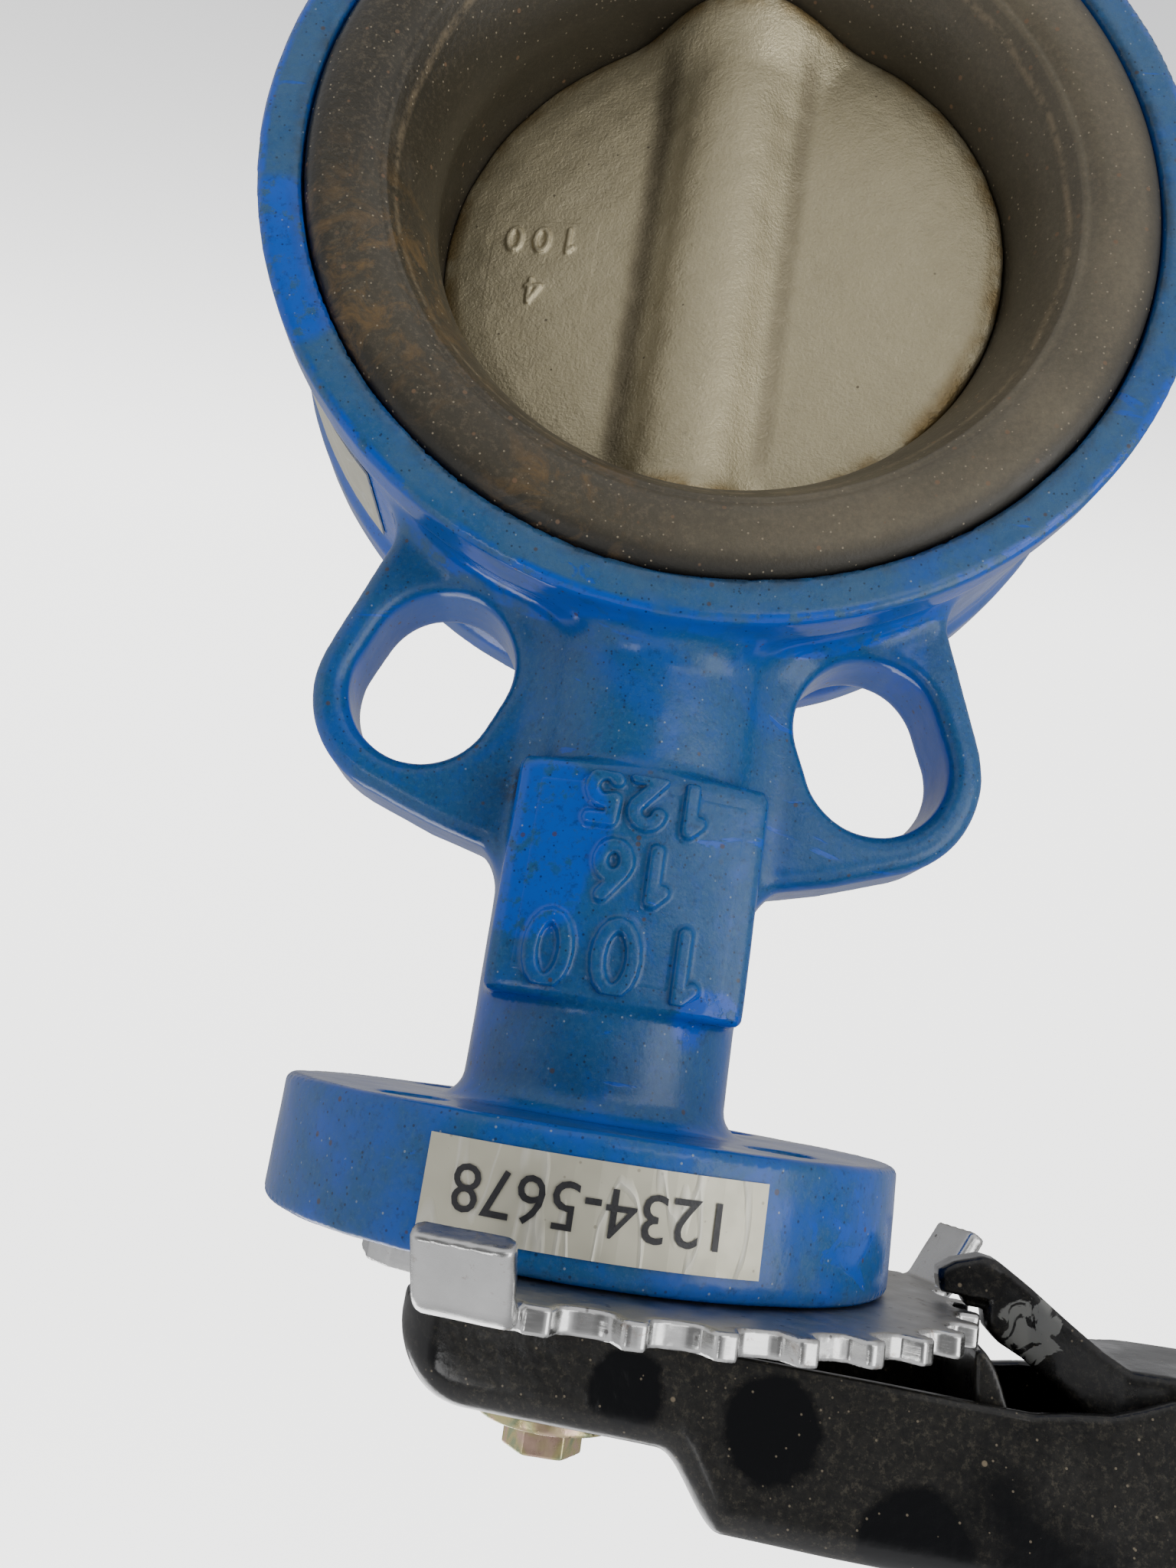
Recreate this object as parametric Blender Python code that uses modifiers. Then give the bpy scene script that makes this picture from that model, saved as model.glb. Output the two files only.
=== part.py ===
"""DN100 resilient-seated wafer butterfly valve with a notched throttle plate and a squeeze-trigger lever.

Metres, +Z up. The origin is the centre of the bore, where the stem axis (Z) crosses the flow axis (Y).
The disc stands DISC_OPEN degrees open, and the lever turns with it.
"""
import math

import bmesh
import bpy
from mathutils import Matrix

# ---- driving dimensions, metres and degrees --------------------------------------------------------
GAP = 0.0003                 # clearance between pieces that touch

FACE_TO_FACE = 0.052         # body length along the flow axis
BODY_RADIUS = 0.076          # outside of the body ring
BODY_WAIST = 0.0745          # body ring between its two rims
BODY_BORE = 0.0613           # inside of the body ring, behind the seat
LIP_RECESS_RADIUS = 0.069    # recess in each face for the seat lip
LIP_RECESS_DEPTH = 0.0052

SEAT_CREST = 0.0498          # sealing bore of the rubber seat
SEAT_MOUTH = 0.0552          # bore at the mouth of the seat
SEAT_LIP_RADIUS = 0.0684     # outside of the seat lip
SEAT_LIP_PROUD = 0.0013      # lip above the body face
SEAT_FOOT = 0.0610           # outside of the seat within the body's bore
SEAT_BACK = 0.0570           # bottom of the groove in the seat's back
SEAT_GROOVE_HALF = 0.0184    # half length of that groove

DISC_RADIUS = 0.0495
DISC_OPEN = 10.0             # as built, degrees from closed
HUB_RADIUS = 0.0105          # boss of the disc round the stem
HUB_END_RADIUS = 0.0140

STEM_RADIUS = 0.0080
SQUARE = 0.0110              # square drive across its flats
STEM_TOP = 0.1842
STEM_BOTTOM = -0.0868
NECK_BORE = 0.0110
NECK_RADIUS = 0.0200
ROOT_FLARE = 0.0030          # thickening where the neck and the boss meet the ring
BODY_STEM_HOLE = 0.0087      # hole for the stem through the ring
BORE_SHOULDER = 0.0660       # where that hole widens to the neck bore, from the origin
FLANGE_RADIUS = 0.0458
FLANGE_BOTTOM = 0.1477
FLANGE_TOP = 0.1649
FLANGE_PCD_RADIUS = 0.0350   # F07 bolt circle, 70 mm
FLANGE_HOLE = 0.0045
COUNTERBORE_RADIUS = 0.0150  # recess in the flange for the washer and retaining ring
COUNTERBORE_FLOOR = 0.1560
PAD_HALF_WIDTH = 0.0187      # name pad on the neck
PAD_BOTTOM = 0.0974
PAD_TOP = 0.1322
PAD_FRONT = -0.0212
BOSS_RADIUS = 0.0175         # boss below the ring
PLUG_RADIUS = 0.0122
PLUG_SHOULDER = -0.0950      # the step that the bottom plug's gasket seats on
BOSS_BOTTOM = -0.1070

EAR_ANGLE = 22.5             # ears beside the stem axis, degrees
EAR_HALF_WIDTH = 0.0170
EAR_TIP = 0.1125             # end of the ear, from the bore axis
EAR_FRONT = -0.0088
EAR_BACK = 0.0080
SLOT_HALF_WIDTH = 0.0115
SLOT_INNER = 0.0891          # centres of the slot's round ends
SLOT_OUTER = 0.0950

PLATE_THICK = 0.0030
PLATE_TIP = 0.0585           # tips of the teeth
PLATE_ROOT = 0.0553
PLATE_HUB = 0.0240
PLATE_BORE = 0.0160
TOOTH_PITCH = 10.0           # degrees
TAB_WIDTH = 0.0112
OPEN_TAB_LENGTH = 0.0070      # straight part, past the bend
CLOSED_TAB_LENGTH = 0.0092
TAB_BEND = 0.0048            # outside radius of the bend
TAB_TURN = 60                # degrees that a tab is bent down from the plate
TAB_ROOT = 0.0030            # how far a tab reaches into the plate
TAB_START = 7.2              # degrees past the last notch
TAB_SPAN = 10.8              # degrees of rim that a tab stands on
TAB_RADIUS = 0.0574          # where the bend starts
TAB_RELIEF = 0.7             # degrees of rim between a tab and the full width of the plate

LEVER_ANGLE = 180.0 + DISC_OPEN
LEVER_HALF_WIDTH = 0.0170
LEVER_SHEET = 0.0025
LEVER_HEAD_END = -0.0213
LEVER_LENGTH = 0.2400
LEVER_EDGE = 0.1744          # edge of the lever's walls, towards the valve
LEVER_GRIP_EDGE = 0.1697
LEVER_HEAD_WEB = 0.1880      # outside of the lever's web over the stem
LEVER_GRIP_WEB = 0.1966

PIVOT_X = 0.0920             # trigger pin, along the lever
PIVOT_Z = 0.1765
PIN_RADIUS = 0.0030
TRIGGER_HALF_WIDTH = 0.0136
NOSE_HALF_WIDTH = 0.0034
TONGUE_HALF_WIDTH = 0.0025
TRIGGER_END = 0.1980
SPRING_X = 0.1300

BOLT_RADIUS = 0.0030         # M6 handle bolt
WASHER_RADIUS = 0.0102
PLATE_SCREW_RADIUS = 0.0040  # M8 countersunk screws
FRONT_SCREW = 45             # screws of the notch plate, degrees from -Y towards -X
REAR_SCREW = -135
LOBE_RADIUS = 0.0088         # the plate round the rear screw

PLATE_BOTTOM = FLANGE_TOP + GAP
PLATE_TOP = PLATE_BOTTOM + PLATE_THICK
HALF = FACE_TO_FACE / 2

# ---- scene and materials ---------------------------------------------------------------------------
for old in list(bpy.data.objects):
    bpy.data.objects.remove(old, do_unlink=True)

PARTS = bpy.data.collections.new("butterfly_valve")
CUTTERS = bpy.data.collections.new("cutters")
bpy.context.scene.collection.children.link(PARTS)
bpy.context.scene.collection.children.link(CUTTERS)


def material(name, colour, roughness, metallic=0.0):
    made = bpy.data.materials.new(name)
    made.use_nodes = True
    shader = made.node_tree.nodes["Principled BSDF"]
    shader.inputs["Base Color"].default_value = (*colour, 1.0)
    shader.inputs["Roughness"].default_value = roughness
    shader.inputs["Metallic"].default_value = metallic
    return made


BLUE_ENAMEL = material("blue_enamel", (0.010, 0.130, 0.520), 0.30)
SEAT_RUBBER = material("seat_rubber", (0.045, 0.040, 0.036), 0.70)
BACKING_RESIN = material("backing_resin", (0.100, 0.060, 0.035), 0.60)
CAST_STAINLESS = material("cast_stainless", (0.380, 0.350, 0.300), 0.50, 0.8)
TURNED_STAINLESS = material("turned_stainless", (0.520, 0.520, 0.520), 0.25, 1.0)
BUSHING_PTFE = material("bushing_ptfe", (0.750, 0.730, 0.680), 0.50)
SEAL_RUBBER = material("seal_rubber", (0.020, 0.020, 0.020), 0.60)
BRIGHT_ZINC = material("bright_zinc", (0.560, 0.560, 0.550), 0.28, 1.0)
YELLOW_ZINC = material("yellow_zinc", (0.520, 0.430, 0.240), 0.32, 1.0)
BLACK_ENAMEL = material("black_enamel", (0.012, 0.012, 0.013), 0.22)
SPRING_STEEL = material("spring_steel", (0.350, 0.350, 0.360), 0.30, 1.0)
LABEL_FOIL = material("label_foil", (0.620, 0.600, 0.540), 0.40, 0.6)


# ---- modelling helpers -----------------------------------------------------------------------------
def add_object(name, mesh, surface=None, parent=None):
    """Link a mesh as a part, or as a hidden cutter when it has no surface."""
    made = bpy.data.objects.new(name, mesh)
    if surface is None:
        CUTTERS.objects.link(made)
        made.hide_render = True
        made.display_type = "WIRE"
    else:
        PARTS.objects.link(made)
        mesh.materials.append(surface)
    made.parent = parent
    return made


def from_bmesh(name, shape, surface=None, parent=None):
    bmesh.ops.recalc_face_normals(shape, faces=shape.faces)
    mesh = bpy.data.meshes.new(name)
    shape.to_mesh(mesh)
    shape.free()
    mesh.shade_smooth()
    mesh.set_sharp_from_angle(angle=math.radians(35))
    return add_object(name, mesh, surface, parent)


def turned(name, profile, steps, surface=None, parent=None, about="Z"):
    """Spin a closed (radius, height) loop about Z, or about Y for the pieces round the bore."""
    area = sum(a[0] * b[1] - b[0] * a[1] for a, b in zip(profile, profile[1:] + profile[:1]))
    loop = profile if area < 0 else profile[::-1]
    mesh = bpy.data.meshes.new(name)
    count = len(loop)
    edges = [(i, (i + 1) % count) for i in range(count)]
    mesh.from_pydata([(radius, 0.0, height) for radius, height in loop], edges, [])
    made = add_object(name, mesh, surface, parent)
    screw = made.modifiers.new("turn", "SCREW")
    screw.steps = steps
    screw.render_steps = steps
    screw.use_merge_vertices = True
    screw.merge_threshold = 0.00001
    if about == "Y":
        made.rotation_euler.x = math.radians(90)
    return made


def rod(name, radius, low, high, steps, surface=None, parent=None, centre=(0.0, 0.0), chamfer=0.0):
    """An upright cylinder between two heights, with optional chamfered ends."""
    shape = bmesh.new()
    bmesh.ops.create_cone(shape, cap_ends=True, segments=steps, radius1=radius, radius2=radius,
                          depth=high - low)
    bmesh.ops.translate(shape, vec=(centre[0], centre[1], (low + high) / 2), verts=shape.verts)
    if chamfer:
        rims = [edge for edge in shape.edges if abs(edge.verts[0].co.z - edge.verts[1].co.z) < 1e-6]
        bmesh.ops.bevel(shape, geom=rims, offset=chamfer, segments=1, affect="EDGES")
    return from_bmesh(name, shape, surface, parent)


def block(name, low, high, surface=None, parent=None):
    shape = bmesh.new()
    bmesh.ops.create_cube(shape, size=1.0)
    size = [b - a for a, b in zip(low, high)]
    centre = [(a + b) / 2 for a, b in zip(low, high)]
    bmesh.ops.scale(shape, vec=size, verts=shape.verts)
    bmesh.ops.translate(shape, vec=centre, verts=shape.verts)
    return from_bmesh(name, shape, surface, parent)


def prism(name, outline, low, high, surface=None, parent=None, turn=None):
    """Extrude a flat (x, y) outline from low to high in Z, then apply a turn matrix."""
    shape = bmesh.new()
    corners = [shape.verts.new((x, y, low)) for x, y in outline]
    face = shape.faces.new(corners)
    grown = bmesh.ops.extrude_face_region(shape, geom=[face])
    raised = [item for item in grown["geom"] if isinstance(item, bmesh.types.BMVert)]
    bmesh.ops.translate(shape, vec=(0.0, 0.0, high - low), verts=raised)
    if turn is not None:
        bmesh.ops.transform(shape, matrix=turn, verts=shape.verts)
    return from_bmesh(name, shape, surface, parent)


SIDEWAYS = Matrix.Rotation(math.radians(90), 4, "X")     # (x, y) outline to (x, z), extruded along -Y


def arc(centre, radius, start, end, steps):
    """Points on an arc, angles in degrees."""
    points = []
    for i in range(steps + 1):
        angle = math.radians(start + (end - start) * i / steps)
        points.append((centre[0] + radius * math.cos(angle), centre[1] + radius * math.sin(angle)))
    return points


def boolean(target, tool, operation):
    change = target.modifiers.new(operation.lower(), "BOOLEAN")
    change.operation = operation
    change.solver = "EXACT"
    change.object = tool


def join(target, *tools):
    for tool in tools:
        boolean(target, tool, "UNION")


def cut(target, *tools):
    for tool in tools:
        boolean(target, tool, "DIFFERENCE")


def hexagon(across_flats, first=0):
    return arc((0.0, 0.0), across_flats / math.sqrt(3), first, first + 300, 5)


def round_edges(shape, chosen, radius, steps):
    bmesh.ops.bevel(shape, geom=chosen, offset=radius, segments=steps, profile=0.5, affect="EDGES",
                    clamp_overlap=True)


# ---- body and what is fixed to it ------------------------------------------------------------------
def ear_outline(side, up):
    """An ear's outline in the face plane (x, z): the half beside the stem runs on into the neck or boss."""
    local = [(0.0700, EAR_HALF_WIDTH + 0.0010)]
    local += arc((EAR_TIP - EAR_HALF_WIDTH, 0.0), EAR_HALF_WIDTH, 90, 0, 8)
    if up:
        local += [(EAR_TIP - 0.0020, -0.0210), (EAR_TIP - 0.0010, -0.0300)]
    else:
        local += [(EAR_TIP - 0.0030, -0.0120), (EAR_TIP - 0.0100, -0.0260)]
    local += [(0.0700, -0.0200)]
    angle = math.radians(90 - side * EAR_ANGLE)
    outline = []
    for along, across in local:
        across *= side
        outline.append((along * math.cos(angle) + across * math.sin(angle),
                        along * math.sin(angle) - across * math.cos(angle)))
    return outline


def ear(name, side, up):
    turn = SIDEWAYS if up else Matrix.Rotation(math.pi, 4, "Y") @ SIDEWAYS
    return prism(name, ear_outline(side, up), -EAR_BACK, -EAR_FRONT, turn=turn)


def ear_slot(name, side, up):
    rim = arc((SLOT_OUTER, 0.0), SLOT_HALF_WIDTH, -90, 90, 10)
    rim += arc((SLOT_INNER, 0.0), SLOT_HALF_WIDTH, 90, 270, 10)
    turn = Matrix.Rotation(math.radians(side * EAR_ANGLE if up else 180 + side * EAR_ANGLE), 4, "Y")
    turn = turn @ Matrix.Rotation(math.radians(-90), 4, "Y") @ SIDEWAYS
    return prism(name, rim, -0.0120, 0.0120, turn=turn)


def neck_pad():
    """The raised pad on the neck, slightly crowned across its front."""
    crown = 0.0560
    spread = math.degrees(math.asin(PAD_HALF_WIDTH / crown))
    front = arc((0.0, PAD_FRONT + crown), crown, 270 - spread, 270 + spread, 8)
    outline = front + [(PAD_HALF_WIDTH, -0.0020), (-PAD_HALF_WIDTH, -0.0020)]
    return prism("pad_block", outline, PAD_BOTTOM, PAD_TOP)


def valve_body():
    edge = 0.0012
    recess = HALF - LIP_RECESS_DEPTH
    ring = [(BODY_BORE, -recess), (LIP_RECESS_RADIUS, -recess), (LIP_RECESS_RADIUS, -HALF),
            (BODY_RADIUS - edge, -HALF), (BODY_RADIUS, -HALF + edge), (BODY_RADIUS - 0.0003, -0.0180),
            (BODY_WAIST, -0.0130), (BODY_WAIST, 0.0130), (BODY_RADIUS - 0.0003, 0.0180),
            (BODY_RADIUS, HALF - edge), (BODY_RADIUS - edge, HALF), (LIP_RECESS_RADIUS, HALF),
            (LIP_RECESS_RADIUS, recess), (BODY_BORE, recess)]
    body = turned("valve_body", ring, 64, BLUE_ENAMEL, about="Y")

    start = 0.0640
    root = LIP_RECESS_RADIUS + 0.0015
    neck = [(0.0, start), (NECK_RADIUS, start), (NECK_RADIUS, root),
            (NECK_RADIUS + ROOT_FLARE, root), (NECK_RADIUS + ROOT_FLARE, BODY_RADIUS),
            (NECK_RADIUS, BODY_RADIUS + 0.0060), (NECK_RADIUS, FLANGE_BOTTOM - 0.0050),
            (NECK_RADIUS + 0.0012, FLANGE_BOTTOM - 0.0020), (NECK_RADIUS + 0.0045, FLANGE_BOTTOM),
            (FLANGE_RADIUS - edge, FLANGE_BOTTOM), (FLANGE_RADIUS, FLANGE_BOTTOM + edge),
            (FLANGE_RADIUS, FLANGE_TOP - edge), (FLANGE_RADIUS - edge, FLANGE_TOP), (0.0, FLANGE_TOP)]
    boss = [(0.0, BOSS_BOTTOM), (BOSS_RADIUS - edge, BOSS_BOTTOM), (BOSS_RADIUS, BOSS_BOTTOM + edge),
            (BOSS_RADIUS, -BODY_RADIUS - 0.0060), (BOSS_RADIUS + ROOT_FLARE, -BODY_RADIUS),
            (BOSS_RADIUS + ROOT_FLARE, -root), (BOSS_RADIUS, -root), (BOSS_RADIUS, -start), (0.0, -start)]
    corners = [(1, True), (-1, True), (1, False), (-1, False)]
    ears = [ear(f"ear_{index}", side, up) for index, (side, up) in enumerate(corners)]
    join(body, turned("neck_column", neck, 40), turned("lower_boss", boss, 32), neck_pad(), *ears)

    slots = [ear_slot(f"slot_{index}", side, up) for index, (side, up) in enumerate(corners)]
    holes = []
    for index in range(4):
        angle = math.radians(45 + 90 * index)
        centre = (FLANGE_PCD_RADIUS * math.cos(angle), FLANGE_PCD_RADIUS * math.sin(angle))
        holes.append(rod(f"flange_hole_{index}", FLANGE_HOLE, 0.1400, 0.1700, 16, centre=centre))
    upper = [(0.0, 0.0500), (BODY_STEM_HOLE, 0.0500), (BODY_STEM_HOLE, BORE_SHOULDER),
             (NECK_BORE, BORE_SHOULDER), (NECK_BORE, COUNTERBORE_FLOOR),
             (COUNTERBORE_RADIUS, COUNTERBORE_FLOOR), (COUNTERBORE_RADIUS, 0.1700), (0.0, 0.1700)]
    lower = [(0.0, -0.1150), (PLUG_RADIUS + GAP, -0.1150), (PLUG_RADIUS + GAP, PLUG_SHOULDER),
             (NECK_BORE, PLUG_SHOULDER), (NECK_BORE, -BORE_SHOULDER), (BODY_STEM_HOLE, -BORE_SHOULDER),
             (BODY_STEM_HOLE, -0.0500), (0.0, -0.0500)]
    cut(body, *slots, *holes, turned("upper_bore", upper, 24), turned("lower_bore", lower, 24))
    return body


def seat_liner():
    """Rubber liner: a sealing bore that opens to a bulging lip on each face, grooved at the back."""
    lip = HALF + SEAT_LIP_PROUD
    foot = HALF - LIP_RECESS_DEPTH + GAP
    inner = [(SEAT_CREST, 0.0), (SEAT_CREST, -0.0050), (0.0512, -0.0140), (0.0532, -0.0210),
             (SEAT_MOUTH + 0.0008, -lip + 0.0008), (0.0580, -lip)]
    outer = [(0.0630, -lip - 0.0002), (0.0665, -lip + 0.0008), (SEAT_LIP_RADIUS, -HALF + 0.0012),
             (SEAT_LIP_RADIUS, -foot), (SEAT_FOOT, -foot)]
    half = inner + outer + [(SEAT_FOOT, -SEAT_GROOVE_HALF - GAP), (SEAT_BACK, -SEAT_GROOVE_HALF - GAP)]
    profile = half + [(radius, -height) for radius, height in reversed(half[1:])]
    seat = turned("seat_liner", profile, 60, SEAT_RUBBER, about="Y")
    cut(seat, rod("seat_stem_hole", STEM_RADIUS + GAP, -0.0700, 0.0700, 20))
    return seat


def seat_backing_ring():
    profile = [(SEAT_BACK + GAP, -SEAT_GROOVE_HALF), (BODY_BORE - GAP, -SEAT_GROOVE_HALF),
               (BODY_BORE - GAP, SEAT_GROOVE_HALF), (SEAT_BACK + GAP, SEAT_GROOVE_HALF)]
    ring = turned("seat_backing_ring", profile, 60, BACKING_RESIN, about="Y")
    cut(ring, rod("backing_stem_hole", STEM_RADIUS + 2 * GAP, -0.0700, 0.0700, 20))


def sleeve(name, inner, outer, low, high, surface):
    turned(name, [(inner, low), (outer, low), (outer, high), (inner, high)], 20, surface)


def stem_fittings():
    """Bushings, seals and retainers that the stems run in."""
    inside = STEM_RADIUS + GAP
    outside = NECK_BORE - GAP
    snap = COUNTERBORE_RADIUS - GAP
    gasket_top = PLUG_SHOULDER - GAP
    sleeve("lower_neck_bushing", inside, outside, BORE_SHOULDER + GAP, 0.0950, BUSHING_PTFE)
    sleeve("neck_seal", inside, outside, 0.0953, 0.0990, SEAL_RUBBER)
    sleeve("upper_neck_bushing", inside, outside, 0.1200, 0.1490, BUSHING_PTFE)
    sleeve("top_seal", inside, outside, 0.1493, COUNTERBORE_FLOOR - GAP, SEAL_RUBBER)
    sleeve("thrust_washer", inside, snap, COUNTERBORE_FLOOR + GAP, 0.1583, BRIGHT_ZINC)
    sleeve("foot_bushing", inside, outside, -0.0870, -BORE_SHOULDER - GAP, BUSHING_PTFE)
    sleeve("plug_gasket", 0.0095, PLUG_RADIUS - GAP, gasket_top - 0.0015, gasket_top, SEAL_RUBBER)

    ring = prism("retaining_ring", arc((0, 0), snap, 20, 340, 18) + arc((0, 0), 0.0118, 340, 20, 18),
                 0.1586, 0.1600, SPRING_STEEL)
    ring.rotation_euler.z = math.radians(-90)

    plug_top = gasket_top - 0.0015 - GAP
    plug = [(0.0, BOSS_BOTTOM - 0.0010), (PLUG_RADIUS - 0.0012, BOSS_BOTTOM - 0.0010),
            (PLUG_RADIUS, BOSS_BOTTOM + 0.0002), (PLUG_RADIUS, plug_top), (0.0, plug_top)]
    socket = prism("plug_socket", hexagon(0.0100), BOSS_BOTTOM - 0.0100, BOSS_BOTTOM + 0.0055)
    cut(turned("bottom_plug", plug, 20, BRIGHT_ZINC), socket)


def screw_place(degrees):
    angle = math.radians(270 - degrees)
    return (FLANGE_PCD_RADIUS * math.cos(angle), FLANGE_PCD_RADIUS * math.sin(angle), 0.0)


def toothed_outline():
    """The notch plate seen from above, angles counted from -Y towards -X."""
    def at(radius, degrees):
        angle = math.radians(270 - degrees)
        return (radius * math.cos(angle), radius * math.sin(angle))

    outline = [at(TAB_RADIUS - 0.0020, -TAB_START - TAB_SPAN - 1.5)]
    outline += [at(TAB_RADIUS, -TAB_START - TAB_SPAN), at(TAB_RADIUS, -TAB_START), at(PLATE_TIP, TAB_RELIEF - TAB_START)]
    for index in range(10):
        middle = index * TOOTH_PITCH
        outline += [at(PLATE_TIP, middle - 3.75), at(PLATE_ROOT, middle - 2.95),
                    at(PLATE_ROOT, middle + 2.95), at(PLATE_TIP, middle + 3.75)]
    last = 9 * TOOTH_PITCH + TAB_START
    outline += [at(PLATE_TIP, last - TAB_RELIEF), at(TAB_RADIUS, last), at(TAB_RADIUS, last + TAB_SPAN)]
    outline += [at(TAB_RADIUS - 0.0020, last + TAB_SPAN + 1.5)]
    outline += [at(0.0360, last + 16.0), at(0.0270, last + 22.0)]
    outline += [at(PLATE_HUB, angle) for angle in range(130, 195, 13)]
    rear = at(FLANGE_PCD_RADIUS, REAR_SCREW)
    outline += arc(rear, LOBE_RADIUS, 270 - REAR_SCREW + 80, 270 - REAR_SCREW - 80, 8)
    outline += [(0.0310, 0.0060), (0.0290, -0.0120), (0.0284, -0.0210), (0.0268, -0.0285),
                (0.0238, -0.0322), (0.0204, -0.0340), (0.0186, -0.0400)]
    return outline


def stop_tab(name, degrees, length):
    """A tab bent from the rim of the notch plate towards the valve, leaning outwards."""
    centre = (TAB_RADIUS, PLATE_TOP - TAB_BEND)
    end = 90 - TAB_TURN
    lean = math.radians(TAB_TURN)
    run, drop = length * math.cos(lean), length * math.sin(lean)
    outer = arc(centre, TAB_BEND, 90, end, 3)
    inner = arc(centre, TAB_BEND - PLATE_THICK, end, 90, 3)
    side = [(TAB_RADIUS - TAB_ROOT, PLATE_TOP)] + outer
    side += [(x + run, z - drop) for x, z in (outer[-1], inner[0])]
    side += inner + [(TAB_RADIUS - TAB_ROOT, PLATE_BOTTOM)]
    turn = Matrix.Rotation(math.radians(270 - degrees), 4, "Z") @ SIDEWAYS
    return prism(name, side[::-1], -TAB_WIDTH / 2, TAB_WIDTH / 2, turn=turn)


def notch_plate():
    plate = prism("notch_plate", toothed_outline(), PLATE_BOTTOM, PLATE_TOP, BRIGHT_ZINC)
    middle = TAB_START + TAB_SPAN / 2
    join(plate, stop_tab("open_stop", -middle, OPEN_TAB_LENGTH),
         stop_tab("closed_stop", 90 + middle, CLOSED_TAB_LENGTH))
    holes = [rod("plate_bore", PLATE_BORE, 0.1600, 0.1750, 32)]
    for index, degrees in enumerate((FRONT_SCREW, REAR_SCREW)):
        sink = [(0.0, 0.1600), (FLANGE_HOLE, 0.1600), (FLANGE_HOLE, PLATE_BOTTOM),
                (FLANGE_HOLE + PLATE_THICK, PLATE_TOP), (FLANGE_HOLE + PLATE_THICK, 0.1750), (0.0, 0.1750)]
        hole = turned(f"plate_hole_{index}", sink, 20)
        hole.location = screw_place(degrees)
        holes.append(hole)
    cut(plate, *holes)
    return plate


def hex_bolt(name, radius, across_flats, tip, seat, head_height, surface, first=0, parent=None):
    """A hex bolt, head up, its shank hanging from the seat down to the tip."""
    bolt = prism(name, hexagon(across_flats, first), seat, seat + head_height, surface, parent)
    shank = rod(name + "_shank", radius, tip, seat + 0.0010, 16, chamfer=0.0005)
    shank.parent = parent
    join(bolt, shank)
    return bolt


def plate_screws():
    """Countersunk screws, flush with the notch plate."""
    head = FLANGE_HOLE + PLATE_THICK - GAP
    top = PLATE_TOP - 0.0002
    under = PLATE_BOTTOM + (PLATE_SCREW_RADIUS - FLANGE_HOLE + GAP)
    for name, degrees in (("plate_screw_front", FRONT_SCREW), ("plate_screw_rear", REAR_SCREW)):
        tip = FLANGE_BOTTOM + 0.0020
        profile = [(0.0, tip), (PLATE_SCREW_RADIUS - 0.0006, tip), (PLATE_SCREW_RADIUS, tip + 0.0006),
                   (PLATE_SCREW_RADIUS, under + GAP), (head - 0.0005, top - 0.0003), (head - 0.0005, top),
                   (0.0, top)]
        screw = turned(name, profile, 20, BRIGHT_ZINC)
        screw.location = screw_place(degrees)
        socket = prism(name + "_socket", hexagon(0.0050), top - 0.0022, top + 0.0020)
        socket.location = screw_place(degrees)
        cut(screw, socket)


def curved_label(name, radius, start, end, low, high, steps, about):
    """A foil label that follows a cylinder, as a thin closed shell."""
    inner = radius + 0.0001
    outline = arc((0, 0), inner, start, end, steps) + arc((0, 0), inner + GAP, end, start, steps)
    turn = None if about == "Z" else SIDEWAYS
    prism(name, outline, low, high, LABEL_FOIL, turn=turn)


# ---- what turns with the stem ----------------------------------------------------------------------
def stem_empty():
    empty = bpy.data.objects.new("stem_axis", None)
    empty.rotation_euler.z = math.radians(LEVER_ANGLE)
    PARTS.objects.link(empty)
    return empty


def disc(parent):
    """The disc plate with a ball-shaped edge, and the boss round the stem."""
    rim = math.degrees(math.asin(0.0024 / DISC_RADIUS))
    edge = arc((0, 0), DISC_RADIUS, -rim, rim, 2)
    profile = [(0.0, -0.0042), (0.0360, -0.0040)] + edge + [(0.0360, 0.0040), (0.0, 0.0042)]
    plate = turned("disc", profile, 60, CAST_STAINLESS, parent, about="Y")
    ball = DISC_RADIUS - 0.0001
    boss = [(radius, -math.sqrt(ball ** 2 - radius ** 2)) for radius in (0.0, 0.0070, 0.0130)]
    boss += [(HUB_END_RADIUS, -0.0462), (HUB_END_RADIUS - 0.0008, -0.0430),
             (HUB_RADIUS + 0.0008, -0.0370), (HUB_RADIUS, -0.0310)]
    boss += [(radius, -height) for radius, height in reversed(boss)]
    hub = turned("disc_hub", boss, 28, parent=parent)
    join(plate, hub)
    upper = rod("disc_stem_bore", STEM_RADIUS + GAP, 0.0320, 0.0600, 20, parent=parent)
    lower = rod("disc_foot_bore", STEM_RADIUS + GAP, -0.0600, -0.0200, 20, parent=parent)
    half = SQUARE / 2 + GAP
    square = block("disc_square", (-half, -half, 0.0120), (half, half, 0.0330), parent=parent)
    cut(plate, upper, lower, square)
    return plate


def stems(parent):
    upper = rod("upper_stem", STEM_RADIUS, 0.0323, 0.1690, 20, TURNED_STAINLESS, parent)
    half = SQUARE / 2
    foot = block("upper_stem_foot", (-half, -half, 0.0124), (half, half, 0.0400), parent=parent)
    head = block("upper_stem_head", (-half, -half, 0.1600), (half, half, STEM_TOP), parent=parent)
    join(upper, foot, head)
    cut(upper, rod("stem_tapping", BOLT_RADIUS + GAP, 0.1700, 0.1900, 16, parent=parent))
    rod("lower_stem", STEM_RADIUS, STEM_BOTTOM, -0.0204, 20, TURNED_STAINLESS, parent, chamfer=0.0008)


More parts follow.
